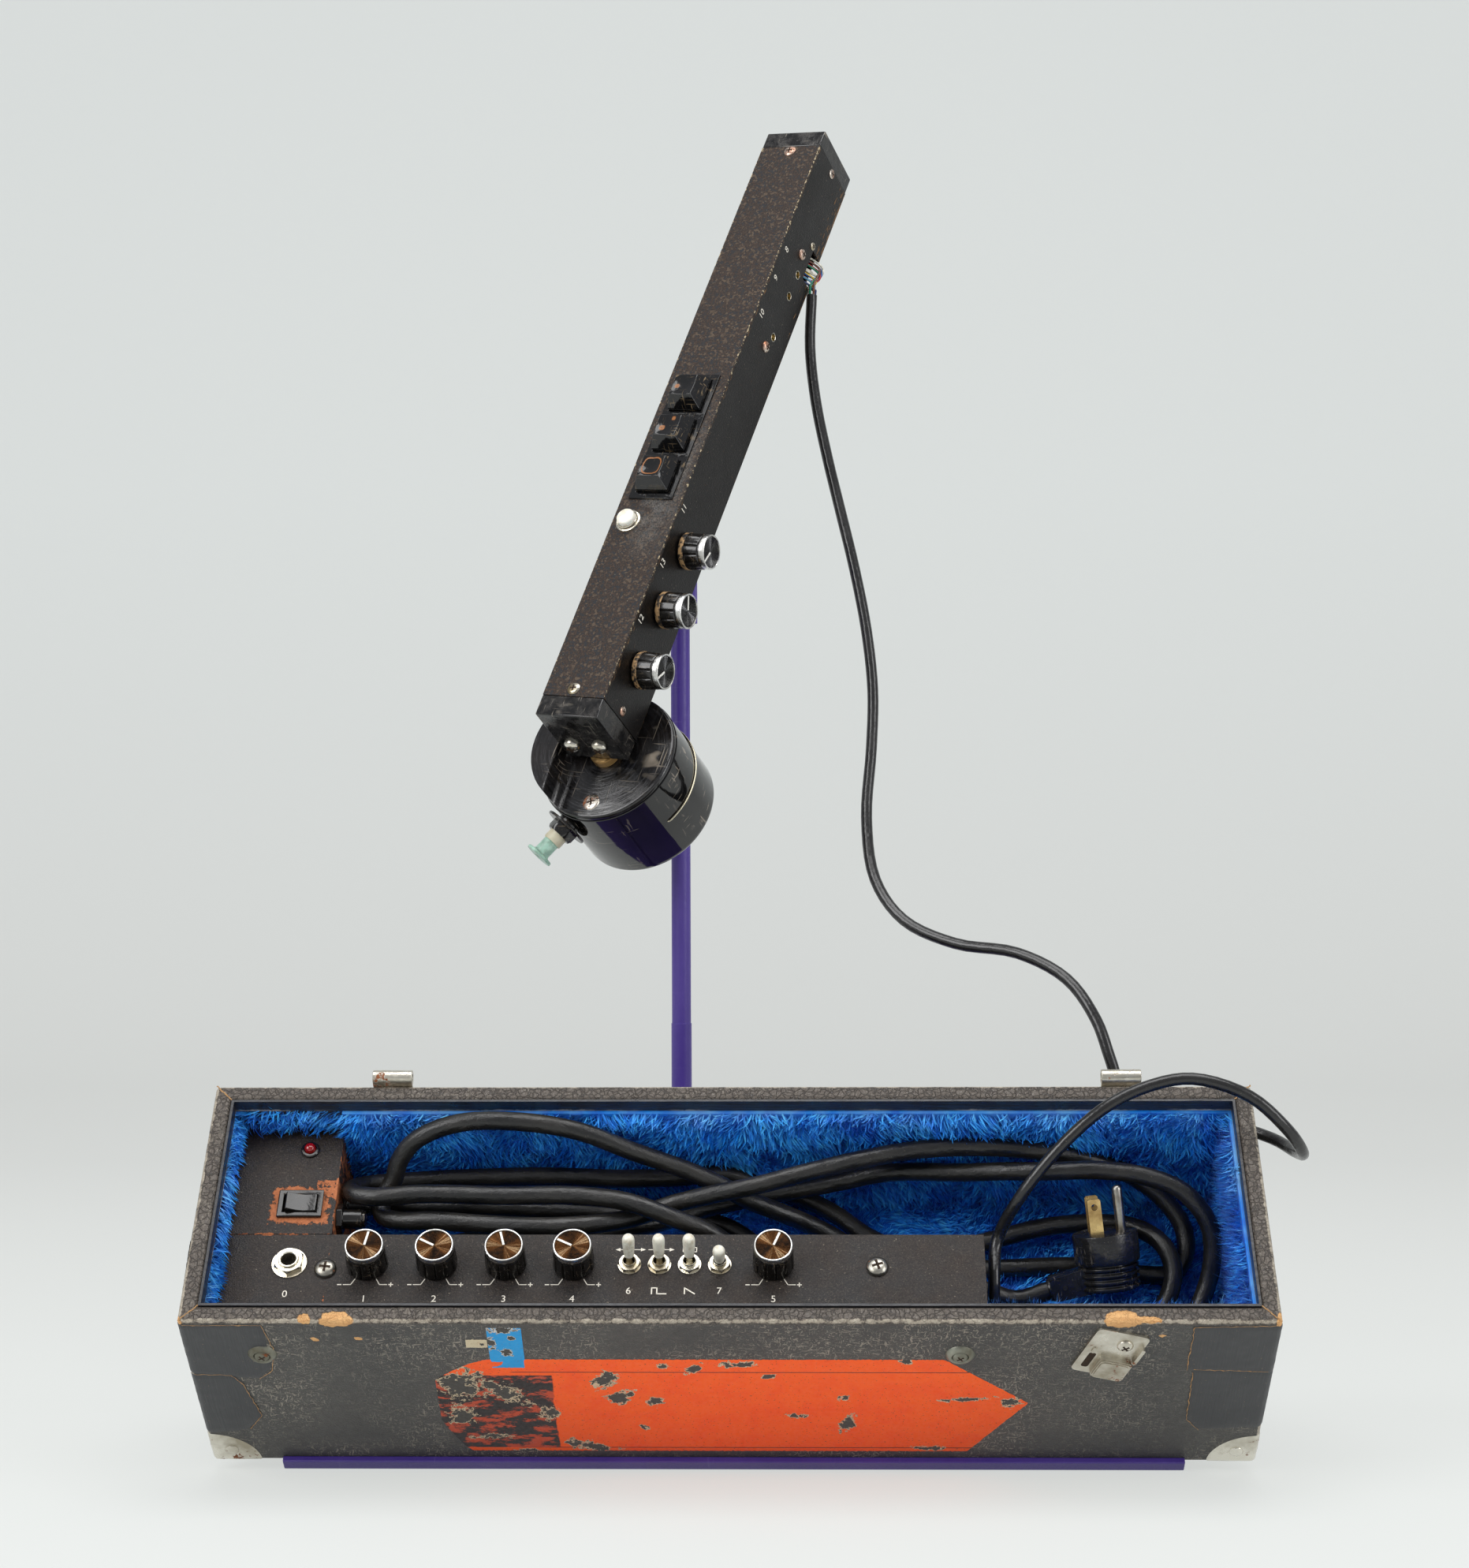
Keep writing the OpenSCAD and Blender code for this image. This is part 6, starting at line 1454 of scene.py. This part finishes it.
for i, turn in enumerate((150, 35, 165)):
    control_knob(f"side_knob_{i + 1}", f"wand_knob_{i + 1}", on_side(19.35, 29.3 + 36.35 * i, turn),
                 black_spun, tan_wear)
trim_brass = plated("trimmer_brass", shade(214, 176, 96), shade(120, 86, 44), 0.0, (0.3, 0.5))
for i in (1, 2, 3):
    dressed(f"trimmer_screw_{i}", f"trimmer_{i}", [trim_brass], 0.1, "trimmer_brass", body=f"trimmer_{i}")
form = bmesh.new()
for y, z in ((23.9, 244.6), (23.8, 272.5), (24.2, 287.6)):
    turned(form, [(2.0, -1.3), (2.0, 0.02), (2.12, 0.12), (2.35, 0.05), (2.4, 0)], 32, on_side(y, z))
make("hole_grommets", form, Matrix.Identity(4), [bright_steel])
for label, y, z in (("8", 8.0, 290.0), ("9", 8.0, 270.5), ("10", 8.0, 246.0), ("11", 6.5, 118.0),
        ("12", 6.5, 50.0), ("13", 6.5, 84.0)):
    printed_number(label, 5.4, on_side(y, z, 90))

# ---- Wires into the wand ----
# Thin coloured wires fan out of the slot at the wand's back edge and gather in the end of the cable; three
# more loop back inside above them.
out = (cable_route[0] - cable_route[1]).normalized()
across = (Vector((1, 0, 0)) - out * out.x).normalized()
wires = (("dark_blue", (26, 52, 104)), ("light_blue", (104, 172, 200)), ("yellow", (226, 190, 24)),
         ("white", (226, 220, 206)), ("green", (22, 122, 92)), ("brown", (112, 66, 44)),
         ("red", (176, 26, 30)), ("blue", (30, 92, 158)), ("cream", (230, 226, 210)))
for i, (colour, rgb) in enumerate(wires):
    coat = mottled(colour + "_wire_coat", rgb, 0.3, rgb, [int(c * 0.62) for c in rgb], 500.0, 4.0, (0.4, 0.7))
    if i < 6:
        z = 293 + 2.7 * i
        points = [wand_mm @ Vector(p) for p in ((30.6, 33.7, z), (33, 36.5, z), (35.0, 39.3, z - 0.2),
            (36.5, 41.6 - 0.2 * i, z - 1.5))]
        turn = math.radians(60 * i)
        end = cable_route[0] + 0.0019 * (across * math.cos(turn) + out.cross(across) * math.sin(turn))
        points += [end + out * (0.003 + 0.0005 * i), end + out * 0.0015, end]
    else:
        z, lean = 301 + 2.2 * (i - 6), 0.5 * (i - 6)
        points = [wand_mm @ Vector(p) for p in ((31, 34, z - 5), (34.2, 38.4, z - 5),
            (36.6, 41.3 + lean, z - 3.5), (37.4, 42.0 + lean, z - 0.4), (36.4, 40.9 + lean, z + 2.4),
            (34.0, 38.2, z + 3.4), (31, 34, z + 3.2))]
    strand = sheath(colour + "_wire", smooth_route(points, 6), 0.00064, 10, coat)
    claim(strand, "instrument", *(() if i else ("wand_conductors", "conductors")))

# ---- Octave canister ----
# Turned black acrylic, very glossy with dust, swirls and scratches: a fixed plate with a raised thumb block
# and a copper-worn countersunk screw, and under it the drum that turns with its wire contact and breath
# inlet.
def on_axis(y):
    return wand_mm @ move(19.2, y, -7.3) @ spin(-90, "X")


acrylic = Finish("black_acrylic", shade(10, 10, 11), 0.05, Specular_IOR_Level=0.6)
t = acrylic.tree
spot = acrylic.within(on_axis(42.7))
xyz = axes(spot)
marks = acrylic.marks(0.9, 1.0, spot)
radius = from_axis(xyz)
flat = between(xyz[2], 0.0034, 0.0028)
rings = cloud(add(t, "ShaderNodeCombineXYZ", _0=times(radius, 6.0), _1=times(xyz[0], 0.4),
                  _2=times(xyz[1], 0.4)).outputs[0], 160.0, 5.0, 0.75)
swirl = times(between(rings, 0.46, 0.72), flat)
dusty = between(cloud(spot, 950.0, 3.0, 0.8), 0.70, 0.75)
film = times(between(marks[2], 0.40, 0.72), plus(times(flat, 0.6), 0.4))
colour = blend_of(times(swirl, 0.7), shade(9, 9, 10), shade(52, 52, 56))
colour = blend_of(times(film, 0.35), colour, shade(56, 50, 46))
colour = blend_of(most(times(marks[0], 0.6), times(dusty, 0.7)), colour, shade(158, 146, 130))
acrylic.set(Base_Color=colour,
            Roughness=plus(0.035, times(swirl, 0.16), plus(times(film, 0.10), times(dusty, 0.3))))
acrylic.relief(plus(times(swirl, 0.25), times(cloud(spot, 60.0, 2.0), 0.8)), 0.00012)

form = bmesh.new()
turned(form, [(3.6, 0), (34.9, 0), (35.6, 0.15), (36.15, 0.6), (36.4, 1.3), (36.4, 2.7), (36.1, 3.0),
              (3.6, 3.0), (3.6, 0)], 144)
make("fixed_plate", form, on_axis(42.7), [acrylic], "canister_plate", "canister_black")
block_r, block_edge, cove = 36.1, -21.6, 5.6
columns = [(-block_r * math.cos(math.radians(a)), 12.2 if a < 3 else 12.5)
           for a in (1, 3, 6, 10, 15, 20, 26, 32, 38, 44, 49)]
columns += [(block_edge - 1.1, 12.5), (block_edge - 0.5, 12.4), (block_edge - 0.1, 12.0), (block_edge, 11.4),
            (block_edge + 0.15, cove)]
columns += [(block_edge + 0.15 + cove * (1 - math.cos(a)), cove * (1 - math.sin(a)))
            for a in (math.radians(9 * k) for k in range(1, 11))]
form = bmesh.new()
rows = []
for x, high in columns:
    reach = math.sqrt(block_r ** 2 - x * x)
    ease = [(-1, 0.0), (-1, 0.93), (-0.995, 0.985), (-0.98, 1.0)] + [(s / 5, 1.0)
        for s in range(-4, 5)] + [(0.98, 1.0), (0.995, 0.985), (1, 0.93), (1, 0.0)]
    rows.append([form.verts.new((x, s * reach, -max(high * share, 0.0) - 0.01)) for s, share in ease])
for low, high in zip(rows, rows[1:]):
    for k in range(len(low) - 1):
        form.faces.new((low[k], low[k + 1], high[k + 1], high[k]))
make("thumb_rest", form, on_axis(42.7) @ spin(-4, "Z"), [acrylic], "thumb_block", "canister_black", crease=32)
form = bmesh.new()
sunk = on_axis(42.7) @ move(1.4, 27.4, 0) @ Matrix.Rotation(math.pi, 4, "X")
turned(form, [(4.5, 0), (4.3, 0.35), (3.9, 0.62), (2.0, 0.75), (0, 0.8)], 32, sunk)
for turn in (20, 110):
    slab(form, (-2.2, -0.42, 0.6), (2.2, 0.42, 0.86), sunk @ spin(turn, "Z"), 1)
make("sunk_screw", form, Matrix.Identity(4), [copper_worn, recess])

spacer = Finish("spacer_brass", shade(168, 132, 80), 0.34, 0.8)
t = spacer.tree
lines = add(t, "ShaderNodeTexWave", {"bands_direction": "Z"}, Vector=spacer.within(on_axis(42.7)),
            Scale=420.0, Distortion=2.0).outputs["Fac"]
spacer.set(Base_Color=blend_of(lines, shade(122, 90, 50),
    blend_of(cloud(spacer.place, 260.0), shade(206, 174, 118), shade(150, 110, 62))))
spacer.relief(lines, 0.0002)
dressed("axle_and_spacer", "canister_axle", [spacer], 0.3, "axle_brass")

form = bmesh.new()
drum_side = [(4.2, 34), (8, 34), (8, 48), (34.8, 48), (34.8, 0), (36.5, 0), (36.8, 0.3), (36.8, 24),
             (36.8, 46.6), (36.6, 48.0), (36.0, 49.1), (35.0, 49.8), (33.6, 50.0), (18, 50.0), (0, 50.0)]
turned(form, drum_side, 160)
make("drum_shell", form, on_axis(46), [acrylic], "octave_drum", "canister_black", crease=40, body="drum")
contact = mottled("contact_wire", (222, 216, 192), 0.22, (232, 228, 208), (176, 160, 124), 300.0, 4.0,
                  metal=1.0)
arc = [on_axis(69) @ Vector((r * math.cos(a), r * math.sin(a), 0)) for r,
       a in [(36.2, math.radians(-71)), (36.9, math.radians(-71))]
       + [(37.32, math.radians(-70 + 102 * k / 40)) for k in range(41)]
       + [(36.9, math.radians(33)), (36.2, math.radians(33))]]
wire_arc = sheath("wire_arc", arc, 0.0005, 12, contact)
claim(wire_arc, "drum", "touch_wire", "wire")

soft_plastic = {"Subsurface_Weight": 0.06, "Subsurface_Scale": 0.002}
mint = mottled("mint_plastic", (158, 192, 174), 0.3, (164, 200, 182), (120, 152, 134), 280.0, 4.0, (0.4, 0.7),
               **soft_plastic)
aged_nylon = mottled("aged_nylon", (208, 202, 178), 0.4, (216, 212, 190), (178, 166, 134), 240.0, 4.0,
                     **soft_plastic)
inlet = wand_mm @ move(19.2, 58, -7.3) @ spin(-242 + 90, "Y") @ move(0, 0, 36.6)
form = bmesh.new()
turned(form, [(1.6, 0.0), (6.0, 0.0), (6.0, 1.5), (11.2, 1.6), (11.5, 1.9), (11.5, 2.6), (11.2, 2.95),
              (7, 3.0)], 64)
hex_nut(form, 12.7, 4.9, 5.0, move(0, 0, 3.0) @ spin(30, "Z"))
turned(form, [(5.0, 3), (5.0, 12.4), (4.7, 12.9), (4.1, 13.0), (4.1, 12)], 40, finish=1)
turned(form, [(1.6, 4), (4.2, 8), (4.2, 19.6), (4.5, 20.5), (5.4, 21.0), (7.0, 21.1), (7.4, 21.4),
              (7.4, 22.3), (7.1, 22.7), (6.4, 22.8), (2.2, 22.8), (1.7, 22.4), (1.6, 21.5), (1.6, 8)], 48,
       finish=2)
make("breath_inlet", form, inlet, [glossy_black, aged_nylon, mint], "breath_fitting", "fitting_green",
     body="drum")

# ---- Display stand ----
# Powder-coated steel in purple: a base plate, a sloping deck with a lip under the case, and the pole with its
# cradle.
purple = Finish("purple_coat", shade(74, 54, 140), 0.38)
marks = purple.marks(0.6, 0.35)
peel = cloud(purple.place, 900.0, 2.0)
purple.set(Base_Color=blend_of(times(marks[0], 0.4), blend_of(between(marks[2], 0.35, 0.7),
    shade(70, 50, 138), shade(84, 64, 150)), shade(150, 138, 190)),
           Roughness=between(peel, 0.35, 0.65, 0.32, 0.44))
purple.relief(peel, 0.0001)
dressed("base_plate", "stand_base", [purple], 0.8, "stand_purple")
dressed("sloping_deck", "stand_deck", [purple], 0.5, "stand_purple")
dressed("pole_and_cradle", "stand_pole", [purple], 0.3, "stand_purple", 30)
